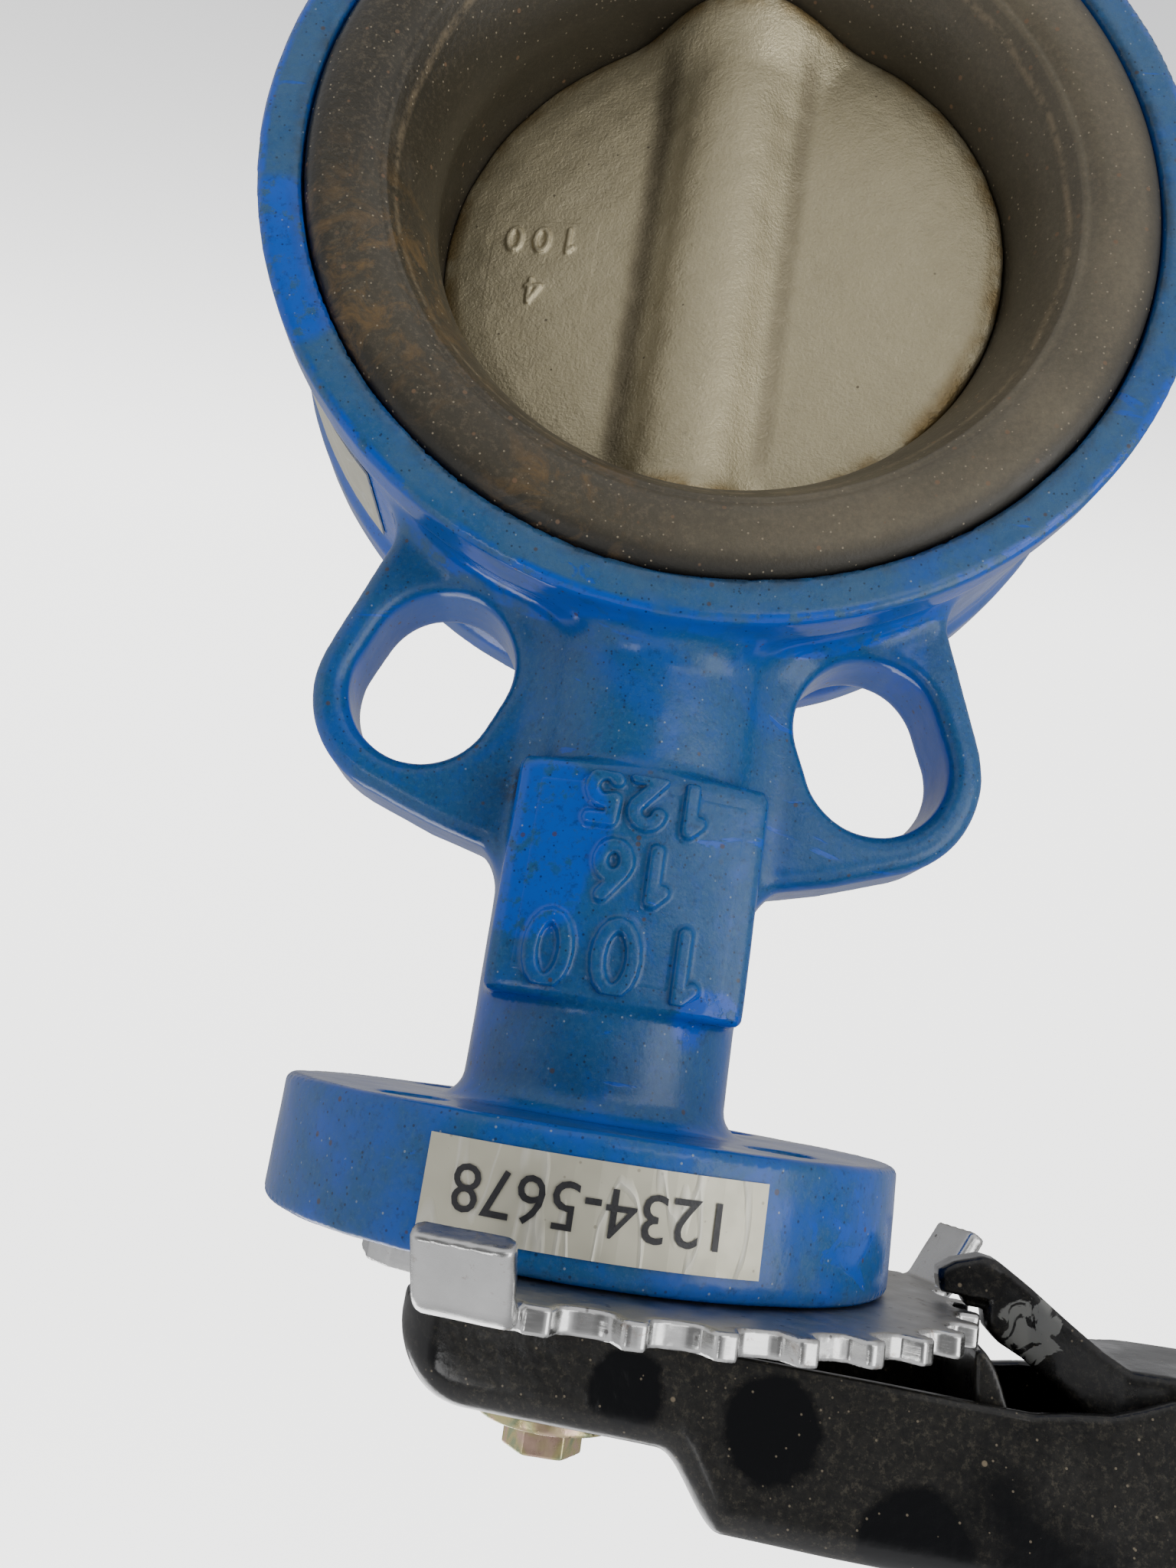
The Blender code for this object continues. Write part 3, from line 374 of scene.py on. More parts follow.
# ---- materials -------------------------------------------------------------------------------------
def blue_enamel():
    s = Shader("blue_enamel_worn")
    facing = s.span(s.axis(s.normal, "Y"), -0.20, -0.75, 0.0, 1.0, True)
    cloud = s.span(s.noise(0.030, 5.0, 0.65, distort=0.8), 0.36, 0.50, 0.0, 1.0, True)
    film = s.lerp(facing, s.times(cloud, 0.45), s.lerp(cloud, 0.55, 1.0))
    wiped = s.most(s.near((0.0140, -0.0200, 0.1080), 0.0100, 0.0007),
                   s.near((0.0150, -0.0200, 0.1160), 0.0085, 0.0007))
    wiped = s.most(wiped, s.near((-0.0140, -0.0200, 0.1330), 0.0055, 0.0007))
    wiped = s.most(wiped, s.near((0.0690, -0.0260, 0.0290), 0.0150, 0.0012))
    around = s.radius_about_y()
    bright_edge = s.times(s.span(around, 0.0740, 0.0746), s.span(around, 0.0764, 0.0768, 1.0, 0.0))
    wiped = s.most(wiped, s.times(bright_edge, s.span(s.noise(0.014, 4.0, 0.65), 0.42, 0.52)))
    streak = s.span(s.noise(0.012, 5.0, 0.6, stretch=(0.45, 1.0, 1.6), distort=1.2), 0.66, 0.68)
    wiped = s.most(s.times(wiped, s.span(s.noise(0.0032, 5.0, 0.7), 0.40, 0.47)), s.times(streak, 0.8))
    film = s.times(film, s.math("SUBTRACT", 1.0, wiped))
    film = s.times(film, s.span(s.noise(0.0014, 4.0, 0.7), 0.22, 0.50, 0.70, 1.0))
    height = s.axis(s.place, "Z")
    flange = s.lerp(s.span(height, 0.1455, 0.1480, 0.0, 1.0, True), 1.0,
                    s.span(s.noise(0.012, 4.0, 0.6), 0.40, 0.56, 0.30, 0.95))
    film = s.times(film, flange)
    clean = s.blend(s.noise(0.05, 2.0), (0.0006, 0.072, 0.43), (0.0012, 0.096, 0.53))
    dusty = s.blend(s.noise(0.012, 4.0, 0.6), (0.007, 0.068, 0.195), (0.014, 0.102, 0.262))
    colour = s.blend(film, clean, dusty)
    pale = s.times(s.span(s.noise(0.0008, 5.0, 0.8), 0.50, 0.64), s.times(film, 0.55))
    colour = s.blend(pale, colour, (0.048, 0.135, 0.260))
    dark = s.times(s.span(s.noise(0.0011, 5.0, 0.8), 0.54, 0.66), s.times(facing, 0.50))
    colour = s.blend(dark, colour, (0.006, 0.030, 0.080))
    ring_face = s.times(facing, s.span(around, 0.0764, 0.0768, 1.0, 0.0))
    dulled_faces = s.times(ring_face, s.times(film, s.span(s.noise(0.010, 4.0, 0.7), 0.36, 0.58, 0.15, 0.60)))
    colour = s.blend(dulled_faces, colour, (0.050, 0.122, 0.215))
    rim = s.times(s.span(around, 0.0692, 0.0714, 0.60, 0.0), s.span(s.noise(0.004, 5.0, 0.7), 0.35, 0.6))
    colour = s.blend(s.times(rim, facing), colour, (0.030, 0.034, 0.030))
    grime = s.times(s.hollow(0.49, 0.42), s.span(s.noise(0.006, 4.0, 0.7), 0.35, 0.6))
    spot = s.times(s.near((0.0195, -0.0120, 0.1010), 0.0030, 0.0020),
                   s.span(s.noise(0.002, 4.0, 0.7), 0.42, 0.52))
    colour = s.blend(s.most(s.times(grime, 0.6), s.times(spot, 0.9)), colour, (0.018, 0.016, 0.012))
    colour = s.blend(s.times(specks(s, 0.0010, 0.35, 0.15), 0.65), colour, (0.006, 0.012, 0.022))
    colour = s.blend(s.times(specks(s, 0.0024, 0.14, 0.13), 0.7), colour, (0.070, 0.048, 0.030))
    colour = s.blend(s.times(specks(s, 0.0013, 0.20, 0.10), s.times(facing, 0.7)), colour, (0.26, 0.33, 0.40))
    roughness = s.lerp(film, s.span(s.noise(0.03, 2.0), 0.3, 0.7, 0.08, 0.16), 0.28)
    orange_peel = s.noise(0.0045, 2.0, 0.4)
    grit = s.times(s.noise(0.0005, 2.0), s.times(film, 0.25))
    s.set(Base_Color=colour, Roughness=roughness,
          Normal=s.bump(s.math("ADD", orange_peel, grit), 0.22, 0.0006))
    s.set(**{"Specular IOR Level": 0.36})
    return s.material


def seat_rubber():
    s = Shader("seat_rubber_dusty")
    base = s.blend(s.noise(0.02, 4.0, 0.6), (0.022, 0.019, 0.013), (0.038, 0.033, 0.022))
    around = s.radius_about_y()
    outward = s.span(s.axis(s.normal, "Y"), -0.15, -0.85, 0.20, 1.0, True)
    dust_and_side_shade = s.times(s.span(s.noise(0.0011, 5.0, 0.8), 0.30, 0.70, 0.6, 1.0),
                   s.span(s.noise(0.030, 3.0), 0.3, 0.6, 0.45, 1.0))
    wet = s.times(s.near((0.0690, -0.0260, -0.0050), 0.0300, 0.0160),
                  s.span(s.noise(0.012, 4.0, 0.6), 0.30, 0.50))
    dust_and_side_shade = s.times(dust_and_side_shade, s.span(wet, 0.0, 1.0, 1.0, 0.20))
    # Painted shade: the dust thins towards +X, so that side of the seat is darker, as shade would make it;
    # the dust itself is real.
    dust_and_side_shade = s.times(dust_and_side_shade, s.span(s.axis(s.place, "X"), -0.045, 0.045, 1.0, 0.26, True))
    colour = s.blend(s.times(s.times(dust_and_side_shade, outward), 0.98), base, (0.158, 0.134, 0.088))
    grain = s.span(s.noise(0.0009, 5.0, 0.8), 0.50, 0.66)
    colour = s.blend(s.times(grain, s.times(outward, 0.35)), colour, (0.190, 0.150, 0.095))
    seam_radius = s.span(s.noise(0.03, 2.0), 0.3, 0.7, 0.0535, 0.0548)
    seam = s.span(s.math("ABSOLUTE", s.math("SUBTRACT", around, seam_radius)), 0.0001, 0.0005, 1.0, 0.0)
    seam = s.times(seam, s.span(s.noise(0.0022, 4.0, 0.7), 0.38, 0.58))
    colour = s.blend(s.times(seam, s.times(outward, 0.6)), colour, (0.260, 0.200, 0.120))
    # Painted shade: the lip darkens towards its outer edge, for the shade in the gap beside the body.
    gap_shade = s.span(around, 0.0640, 0.0680, 0.0, 0.85, True)
    colour = s.blend(gap_shade, colour, (0.012, 0.011, 0.008))
    patch = s.most(s.near((0.052, -0.026, 0.030), 0.018, 0.016), s.near((0.018, -0.026, 0.060), 0.009, 0.010))
    stain = s.times(patch, s.span(s.noise(0.006, 6.0, 0.75, distort=1.0), 0.48, 0.66))
    colour = s.blend(s.times(stain, 0.90), colour, (0.150, 0.092, 0.036))
    colour = s.blend(s.times(specks(s, 0.0011, 0.40, 0.12), 0.75), colour, (0.30, 0.25, 0.17))
    colour = s.blend(s.times(specks(s, 0.0024, 0.20, 0.13), 0.7), colour, (0.17, 0.10, 0.055))
    roughness = s.lerp(wet, s.span(s.noise(0.016, 4.0, 0.6), 0.3, 0.7, 0.36, 0.54), 0.24)
    height = s.math("ADD", s.noise(0.0007, 3.0, 0.6), s.times(s.noise(0.012, 2.0), 2.0))
    s.set(Base_Color=colour, Roughness=roughness, Normal=s.bump(height, 0.18, 0.0004))
    s.set(**{"Specular IOR Level": 0.38})
    return s.material


def cast_stainless():
    s = Shader("cast_stainless_stained")
    base = s.blend(s.noise(0.014, 5.0, 0.65), (0.425, 0.370, 0.230), (0.560, 0.495, 0.320))
    grain = s.span(s.noise(0.0007, 3.0, 0.7), 0.35, 0.65)
    colour = s.blend(s.times(grain, 0.35), base, (0.60, 0.53, 0.37))
    away = s.tree.nodes.new("ShaderNodeVectorMath")
    away.operation = "LENGTH"
    s.plug(away.inputs[0], s.place)
    edge = s.span(away.outputs["Value"], 0.0450, 0.0494, 0.0, 1.0, True)
    amber = s.times(edge, s.span(s.noise(0.009, 4.0, 0.6), 0.38, 0.58))
    colour = s.blend(s.times(amber, 0.80), colour, (0.240, 0.145, 0.032))
    # Painted shade: darker bands along both sides of the hub's ridge, deeper on one side, stand in for the
    # shade in its valleys.
    across = s.math("ADD", s.times(s.axis(s.place, "X"), math.cos(OPEN)),
                    s.times(s.axis(s.place, "Y"), math.sin(OPEN)))
    left_valley_shade = s.span(s.math("ABSOLUTE", s.math("SUBTRACT", across, 0.0128)), 0.0005, 0.0036, 0.75, 0.0, True)
    right_valley_shade = s.span(s.math("ABSOLUTE", s.math("ADD", across, 0.0126)), 0.0003, 0.0028, 0.50, 0.0, True)
    inner = s.span(away.outputs["Value"], 0.0400, 0.0470, 1.0, 0.0, True)
    valley_painted_shade = s.times(s.most(left_valley_shade, right_valley_shade), s.times(inner, s.span(s.noise(0.006, 3.0), 0.25, 0.55, 0.75, 1.0)))
    colour = s.blend(valley_painted_shade, colour, (0.105, 0.085, 0.050))
    soot = s.span(s.noise(0.0028, 5.0, 0.75), 0.60, 0.74)
    colour = s.blend(s.times(soot, 0.30), colour, (0.09, 0.08, 0.06))
    colour = s.blend(s.times(specks(s, 0.0026, 0.10, 0.08), 0.7), colour, (0.07, 0.055, 0.04))
    roughness = s.span(s.noise(0.005, 4.0), 0.3, 0.7, 0.38, 0.54)
    height = s.math("ADD", s.noise(0.0006, 3.0, 0.7), s.times(s.noise(0.0024, 3.0), 0.7))
    s.set(Base_Color=colour, Roughness=roughness, Metallic=0.75, Normal=s.bump(height, 0.50, 0.0004))
    return s.material


def black_enamel():
    s = Shader("black_enamel_dusty")
    haze = s.span(s.noise(0.030, 4.0, 0.55, distort=0.6), 0.36, 0.56, 0.0, 1.0, True)
    fine = s.span(s.noise(0.0010, 4.0, 0.75), 0.36, 0.70, 0.25, 1.0)
    wobble = s.span(s.noise(0.006, 4.0, 0.6), 0.3, 0.7, 0.0, 1.0)
    touched = s.most(s.near((-0.0093, -0.0184, 0.1806), 0.0050, 0.0026),
                     s.near((-0.0283, -0.0218, 0.1823), 0.0064, 0.0026))
    touched = s.most(touched, s.near((-0.0468, -0.0250, 0.1923), 0.0068, 0.0030))
    haze = s.times(haze, s.span(s.math("ADD", touched, s.times(wobble, 0.5)), 0.55, 0.85, 1.0, 0.0))
    colour = s.blend(s.times(s.times(haze, fine), 0.38), (0.0030, 0.0034, 0.0044), (0.052, 0.047, 0.036))
    grain = s.times(s.span(s.noise(0.0009, 5.0, 0.8), 0.52, 0.66), haze)
    colour = s.blend(s.times(grain, 0.45), colour, (0.105, 0.092, 0.066))
    colour = s.blend(s.times(specks(s, 0.0012, 0.35, 0.11), 0.65), colour, (0.24, 0.20, 0.14))
    colour = s.blend(s.times(specks(s, 0.0030, 0.16, 0.10), 0.7), colour, (0.26, 0.21, 0.14))
    # Painted highlight: a pale ragged patch on the trigger's arm stands in for a bright reflection; the patch
    # is also made rougher.
    painted_highlight = s.span(s.math("ADD", s.near((-0.0630, -0.0162, 0.1660), 0.0068, 0.0036),
                          s.noise(0.0050, 5.0, 0.6, distort=1.2)), 1.45, 1.48)
    colour = s.blend(s.times(painted_highlight, 0.85), colour, (0.230, 0.230, 0.208))
    roughness = s.most(s.lerp(haze, 0.12, 0.32), s.times(painted_highlight, 0.45))
    ripples = s.math("ADD", s.noise(0.009, 3.0, 0.5), s.times(s.noise(0.0012, 2.0), 0.10))
    s.set(Base_Color=colour, Roughness=roughness, Coat_Weight=0.15, Coat_Roughness=0.10,
          Normal=s.bump(ripples, 0.30, 0.0012))
    s.set(**{"Specular IOR Level": 0.36})
    return s.material


def zinc(name, bright, dark, tarnish, amount):
    s = Shader(name)
    colour = s.blend(s.noise(0.006, 4.0, 0.6), dark, bright)
    rust = s.times(s.span(s.noise(0.0045, 5.0, 0.75, distort=0.8), 0.58, 0.68), amount)
    colour = s.blend(rust, colour, tarnish)
    # Faces that look down (-Z) get a duller, browner colour and a rougher finish.
    dulled_faces = s.span(s.axis(s.normal, "Z"), -0.70, -0.96, 0.0, 1.0, True)
    dulled_faces = s.times(dulled_faces, s.span(s.noise(0.010, 4.0, 0.6), 0.30, 0.60, 0.6, 1.0))
    colour = s.blend(s.times(dulled_faces, 0.60), colour, (0.270, 0.245, 0.195))
    colour = s.blend(s.times(specks(s, 0.0020, 0.25, 0.12), 0.7), colour, (0.06, 0.05, 0.05))
    scratch = s.noise(0.0035, 4.0, 0.7, stretch=(1.0, 1.0, 9.0))
    roughness = s.math("ADD", s.span(scratch, 0.3, 0.7, 0.16, 0.30),
                       s.math("ADD", s.times(rust, 0.25), s.times(dulled_faces, 0.18)))
    s.set(Base_Color=colour, Roughness=roughness, Metallic=0.95,
          Normal=s.bump(s.math("ADD", scratch, s.noise(0.004, 2.0)), 0.07, 0.0004))
    return s.material


def yellow_zinc():
    s = Shader("yellow_zinc_passivate")
    wave = s.noise(0.005, 2.0, 0.5, distort=1.5)
    colour = s.blend(s.span(wave, 0.35, 0.52), (0.66, 0.45, 0.35), (0.60, 0.52, 0.25))
    colour = s.blend(s.span(wave, 0.52, 0.66), colour, (0.38, 0.43, 0.25))
    colour = s.blend(s.times(specks(s, 0.0016, 0.25, 0.13), 0.8), colour, (0.05, 0.04, 0.03))
    s.set(Base_Color=colour, Roughness=s.span(s.noise(0.002, 4.0), 0.3, 0.7, 0.20, 0.38), Metallic=0.9,
          Normal=s.bump(s.noise(0.0011, 3.0), 0.2, 0.0003))
    return s.material


def label_foil():
    s = Shader("label_foil_creased")
    fold = s.noise(0.010, 1.5, 0.4, stretch=(2.5, 1, 0.5))
    crease = s.span(s.math("ABSOLUTE", s.math("SUBTRACT", fold, 0.5)), 0.0, 0.03, 1.0, 0.0)
    colour = s.blend(s.noise(0.012, 3.0), (0.50, 0.48, 0.37), (0.66, 0.64, 0.51))
    colour = s.blend(s.times(specks(s, 0.0014, 0.22, 0.12), 0.6), colour, (0.26, 0.23, 0.17))
    colour = s.blend(s.times(crease, 0.25), colour, (0.88, 0.88, 0.86))
    s.set(Base_Color=colour, Roughness=s.span(s.noise(0.003, 4.0), 0.3, 0.7, 0.34, 0.50), Metallic=0.35,
          Normal=s.bump(s.math("ADD", s.noise(0.008, 2.0, 0.4), s.times(crease, 0.4)), 0.4, 0.0006))
    return s.material


def plain(name, colour_a, colour_b, size, roughness, metallic=0.0):
    s = Shader(name)
    s.set(Base_Color=s.blend(s.noise(size, 4.0, 0.6), colour_a, colour_b), Metallic=metallic,
          Roughness=s.span(s.noise(size / 2, 4.0), 0.3, 0.7, roughness - 0.08, roughness + 0.10),
          Normal=s.bump(s.noise(size / 5, 3.0), 0.15, 0.0003))
    return s.material


BLUE = blue_enamel()
RUBBER = seat_rubber()
CAST = cast_stainless()
BLACK = black_enamel()
ZINC = zinc("bright_zinc_worn", (0.70, 0.70, 0.69), (0.48, 0.48, 0.47), (0.20, 0.11, 0.06), 0.55)
YELLOW = yellow_zinc()
FOIL = label_foil()
TURNED = plain("turned_stainless_bar", (0.50, 0.50, 0.49), (0.62, 0.62, 0.61), 0.004, 0.28, 1.0)
SPRING = plain("spring_steel_wire", (0.28, 0.28, 0.28), (0.42, 0.42, 0.42), 0.003, 0.32, 1.0)
PTFE = plain("bushing_plastic", (0.62, 0.60, 0.55), (0.76, 0.74, 0.70), 0.006, 0.50)
SEAL = plain("seal_rubber_black", (0.014, 0.014, 0.014), (0.030, 0.028, 0.026), 0.004, 0.55)
RESIN = plain("backing_resin_brown", (0.080, 0.050, 0.030), (0.120, 0.080, 0.048), 0.005, 0.55)
INK = plain("label_ink", (0.012, 0.012, 0.014), (0.030, 0.030, 0.034), 0.002, 0.45)


# ---- valve body ------------------------------------------------------------------------------------
EAR_ANGLE = math.radians(22.5)
EAR_TIP, EAR_HALF = 112.5, 17.0
SLOT_INNER, SLOT_OUTER, SLOT_HALF = 89.1, 95.0, 11.5
WAIST_RADIUS, FACE = 74.5, 26.0                        # the ring between its rims, and half its length
NECK_RADIUS, BOSS_RADIUS = 20.0, 17.5
PAD_HALF, PAD_MIDDLE, PAD_TALL = 18.7, 114.8, 17.4     # half width, height of its middle, half height
FLANGE_RADIUS, FLANGE_MIDDLE, FLANGE_HALF = 45.8, 156.3, 8.6
SCREW_CIRCLE = 35.0
BOLT_HOLE_XY, BOLT_HOLE_RADIUS = 24.75, 4.5


def ear_outline(up):
    local = [(66.0, EAR_HALF + 1.4)] + arc(EAR_TIP - EAR_HALF, 0, EAR_HALF, EAR_HALF, 90, 0, 14)
    if up:
        local += [(EAR_TIP - 0.6, -12.0), (EAR_TIP - 1.8, -21.0), (EAR_TIP - 1.0, -30.0)]
    else:
        local += [(EAR_TIP - 3.0, -12.0), (EAR_TIP - 10.0, -26.0)]
    local += [(66.0, -22.0)]
    angle = math.pi / 2 - EAR_ANGLE
    c, n = math.cos(angle), math.sin(angle)
    return [(along * c + across * n, along * n - across * c) for along, across in local]


UPPER_EAR, LOWER_EAR = ear_outline(True), ear_outline(False)


def pad_front(x, y):
    return np.hypot(x, y - 34.8) - 56.0


def body_field(x, y, z):
    ax, ay = np.abs(x), np.abs(y)
    r = np.hypot(x, z)
    about_stem = np.hypot(x, y)
    swell = np.clip((ay - 13.0) / 6.0, 0, 1)
    outside = r - (WAIST_RADIUS + 1.3 * swell * swell * (3 - 2 * swell))
    shape = overlap(outside, ay - FACE, 1.1)
    column = np.where(z > 0, np.maximum(about_stem - NECK_RADIUS, np.abs(z - 108.0) - 48.0),
                      overlap(about_stem - BOSS_RADIUS, np.abs(z + 84.0) - 23.0, 1.5))
    shape = union(shape, column, 6.0)
    thick = np.abs(y + 0.4) - 8.4
    flat = np.where(z > 0, polygon(ax, z, UPPER_EAR), polygon(ax, -z, LOWER_EAR))
    shape = union(shape, overlap(flat, thick, 3.0), 4.5)
    pad = overlap(ax - PAD_HALF, np.maximum(pad_front(x, y), y + 2.0), 1.5)
    pad = overlap(pad, np.abs(z - PAD_MIDDLE) - PAD_TALL, 1.5)
    shape = union(shape, pad, 1.4)
    flange = overlap(about_stem - FLANGE_RADIUS, np.abs(z - FLANGE_MIDDLE) - FLANGE_HALF, 1.3)
    shape = union(shape, flange, 4.0)

    along = ax * math.sin(EAR_ANGLE) + np.abs(z) * math.cos(EAR_ANGLE)
    across = ax * math.cos(EAR_ANGLE) - np.abs(z) * math.sin(EAR_ANGLE)
    slot = np.hypot(along - np.clip(along, SLOT_INNER, SLOT_OUTER), across) - SLOT_HALF
    shape = carve(shape, slot, 2.4)
    hole = np.hypot(ax - BOLT_HOLE_XY, ay - BOLT_HOLE_XY) - BOLT_HOLE_RADIUS
    shape = carve(shape, np.maximum(hole, 140.0 - z), 0.5)
    hollow = np.minimum(r - 61.3, np.maximum(r - 68.95, 20.8 - ay))
    bores = np.minimum(np.maximum(about_stem - 11.0, 66.0 - np.abs(z)), about_stem - 8.7)
    bores = np.minimum(bores, np.maximum(about_stem - 15.0, 156.0 - z))
    bores = np.minimum(bores, np.maximum(about_stem - 12.5, z + 95.0))
    shape = carve(shape, np.minimum(hollow, bores), 0.5)

    return shape + 0.10 * ripple(x, y, z, 41.0) + 0.04 * ripple(x, y, z, 13.0, 2.0)


def raised_marks(field, marks, border, height, stroke):
    """Cast marks on a surface: a fine patch that lies just over it, and sinks into it round its border."""
    def patch(x, y, z):
        base = field(x, y, z)
        inset = border(x, y, z)
        lift = np.interp(-inset, [0.0, 2.0], [-0.5, 0.05])
        glyph = overlap(marks(x, y, z) - stroke, base - height, height * 0.45)
        grown = union(base - lift, glyph, height * 0.8)
        return np.maximum(np.maximum(grown, -base - 1.2), inset)
    return patch


STEP_SCALE = 1.0
body = skin("valve_casting", body_field, (-80, -50, -114), (80, 50, 169), 0.92 * STEP_SCALE)
place(body, BLUE, "valve", "blue_enamel", "valve_body")


def pad_marks(x, y, z):
    marks = numerals(x, z, "100", (0.8, 125.4), 9.4, 1.02)
    marks = np.minimum(marks, numerals(x, z, "16", (0.0, 113.2), 7.2, 0.86))
    return np.minimum(marks, numerals(x, z, "125", (-0.6, 102.6), 6.8, 0.95))


def pad_border(x, y, z):
    return np.maximum(np.maximum(np.abs(x) - 17.0, np.abs(z - PAD_MIDDLE) - 15.8), y + 12.0)


pad = skin("pad_numerals", raised_marks(body_field, pad_marks, pad_border, 1.05, 1.0),
           (-19, -24, 97), (19, -15, 133), 0.36 * STEP_SCALE)
place(pad, BLUE, "valve", "blue_enamel")


# ---- rubber seat -----------------------------------------------------------------------------------
def turned(name, profile, steps, wobble=0.0):
    """Spin a closed (radius, y) loop in millimetres about the bore's axis."""
    count = len(profile)
    points = np.array(profile)
    verts = []
    for i in range(steps):
        angle = 2 * math.pi * i / steps
        grow = wobble * (math.sin(3 * angle + 1.0) + 0.6 * math.sin(7 * angle)) if wobble else 0.0
        for radius, y in points:
            verts.append(((radius + grow * 0.3) * math.sin(angle) * MM, (y + grow * math.copysign(1, y)) * MM,
                          (radius + grow * 0.3) * math.cos(angle) * MM))
    faces = []
    for i in range(steps):
        j = (i + 1) % steps
        for k in range(count):
            m = (k + 1) % count
            faces.append((i * count + k, i * count + m, j * count + m, j * count + k))
    mesh = bpy.data.meshes.new(name)
    mesh.from_pydata(verts, [], faces)
    shape = bmesh.new()
    shape.from_mesh(mesh)
    bmesh.ops.recalc_face_normals(shape, faces=shape.faces)
    shape.to_mesh(mesh)
    shape.free()
    mesh.shade_smooth()
    made = bpy.data.objects.new(name, mesh)
    bpy.context.scene.collection.objects.link(made)
    return made


def cut_by(piece, shape):
    """Subtract a bmesh solid from a piece."""
    mesh = bpy.data.meshes.new("cutter")
    shape.to_mesh(mesh)
    shape.free()
    tool = bpy.data.objects.new("cutter", mesh)
    bpy.context.scene.collection.objects.link(tool)
    change = piece.modifiers.new("cut", "BOOLEAN")
    change.operation = "DIFFERENCE"
    change.object = tool
    seen = bpy.context.evaluated_depsgraph_get()
    solid = bpy.data.meshes.new_from_object(piece.evaluated_get(seen))
    piece.modifiers.clear()
    piece.data = solid
    bpy.data.objects.remove(tool)
    return piece


def smooth_line(points, steps):
    """A Catmull-Rom line through points."""
    out = []
    for i in range(len(points) - 1):
        p0 = np.array(points[max(i - 1, 0)])
        p1, p2 = np.array(points[i]), np.array(points[i + 1])
        p3 = np.array(points[min(i + 2, len(points) - 1)])
        for k in range(steps):
            t = k / steps
            out.append(tuple(0.5 * (2 * p1 + (p2 - p0) * t + (2 * p0 - 5 * p1 + 4 * p2 - p3) * t * t
                                    + (3 * p1 - p0 - 3 * p2 + p3) * t ** 3)))
    return out + [tuple(points[-1])]


throat = [(49.55, 0.0), (49.50, -2.4), (49.20, -5.5), (48.90, -8.0), (48.80, -10.5), (49.40, -14.0),
          (51.20, -18.5), (53.40, -22.3), (54.80, -24.4), (55.60, -25.5)]
crease = [(56.3, -25.95), (56.6, -25.85), (57.0, -26.1)]
lip = [(57.6, -26.6), (59.0, -27.15), (61.6, -27.45), (64.4, -27.35), (66.8, -26.85), (68.2, -25.7),
       (68.7, -24.2)]
heel = [(68.6, -21.2), (61.0, -21.1), (61.0, -18.8), (57.05, -18.8)]
front = smooth_line(throat, 4) + crease + smooth_line(lip, 4) + heel
seat = turned("rubber_seat", front + [(r, -y) for r, y in reversed(front[1:])], 220, 0.04)
stem_hole = bmesh.new()
bmesh.ops.create_cone(stem_hole, cap_ends=True, segments=40, radius1=8.3 * MM, radius2=8.3 * MM,
                      depth=150 * MM)
seat = cut_by(seat, stem_hole)
place(seat, RUBBER, "valve", "seat_rubber", "seat_liner")


# ---- disc ------------------------------------------------------------------------------------------
def disc_field(x, y, z):
    """Written for the closed disc: its faces look along Y."""
    x, y = x * math.cos(OPEN) + y * math.sin(OPEN), y * math.cos(OPEN) - x * math.sin(OPEN)
    r = np.hypot(x, z)
    ball = np.sqrt(r * r + y * y)
    plate = np.abs(y) - np.interp(r, [0, 32, 42, 46.5, 49.5], [4.3, 4.2, 3.9, 3.3, 2.4])
    flare = np.clip((np.abs(z) - np.where(z < 0, 35.0, 43.0)) / 12.0, 0, 1)
    hub = np.hypot(x * 0.94, y) - (10.6 + 3.2 * flare * flare * (3 - 2 * flare))
    shape = union(plate, hub, 3.4 + 5.0 * np.clip((-z - 28.0) / 16.0, 0, 1))
    shape = overlap(shape, ball - 49.45, 0.7)
    return shape + 0.10 * ripple(x, y, z, 17.0, 0.7) + 0.04 * ripple(x, y, z, 6.0, 3.0)


def disc_marks(x, y, z):
    across = x * math.cos(OPEN) + y * math.sin(OPEN)
    marks = numerals(across, z, "100", (31.5, -1.8), 4.4, 1.15)
    return np.minimum(marks, numerals(across, z, "4", (31.5, 8.6), 4.4))


def disc_border(x, y, z):
    across = x * math.cos(OPEN) + y * math.sin(OPEN)
    behind = y * math.cos(OPEN) - x * math.sin(OPEN)
    return np.maximum(np.maximum(np.abs(across - 31.0) - 11.5, np.abs(z - 3.4) - 11.0), behind)


disc = skin("disc_casting", disc_field, (-51, -17, -51), (51, 17, 51), 0.6 * STEP_SCALE)
place(disc, CAST, "stem", "cast_stainless", "disc")
figures = skin("disc_numerals", raised_marks(disc_field, disc_marks, disc_border, 0.6, 0.42),
               (17, -9, -9), (45, 6, 16), 0.24 * STEP_SCALE)
place(figures, CAST, "stem", "cast_stainless")


# ---- notch plate -----------------------------------------------------------------------------------
PLATE_LOW, PLATE_HIGH = 165.2, 168.2
FRONT_SCREW, REAR_SCREW = 45, -135     # degrees from -Y towards -X


def toward(radius, degrees):
    """A point in plan, its angle counted from -Y towards -X."""
    angle = math.radians(270 - degrees)
    return (radius * math.cos(angle), radius * math.sin(angle))


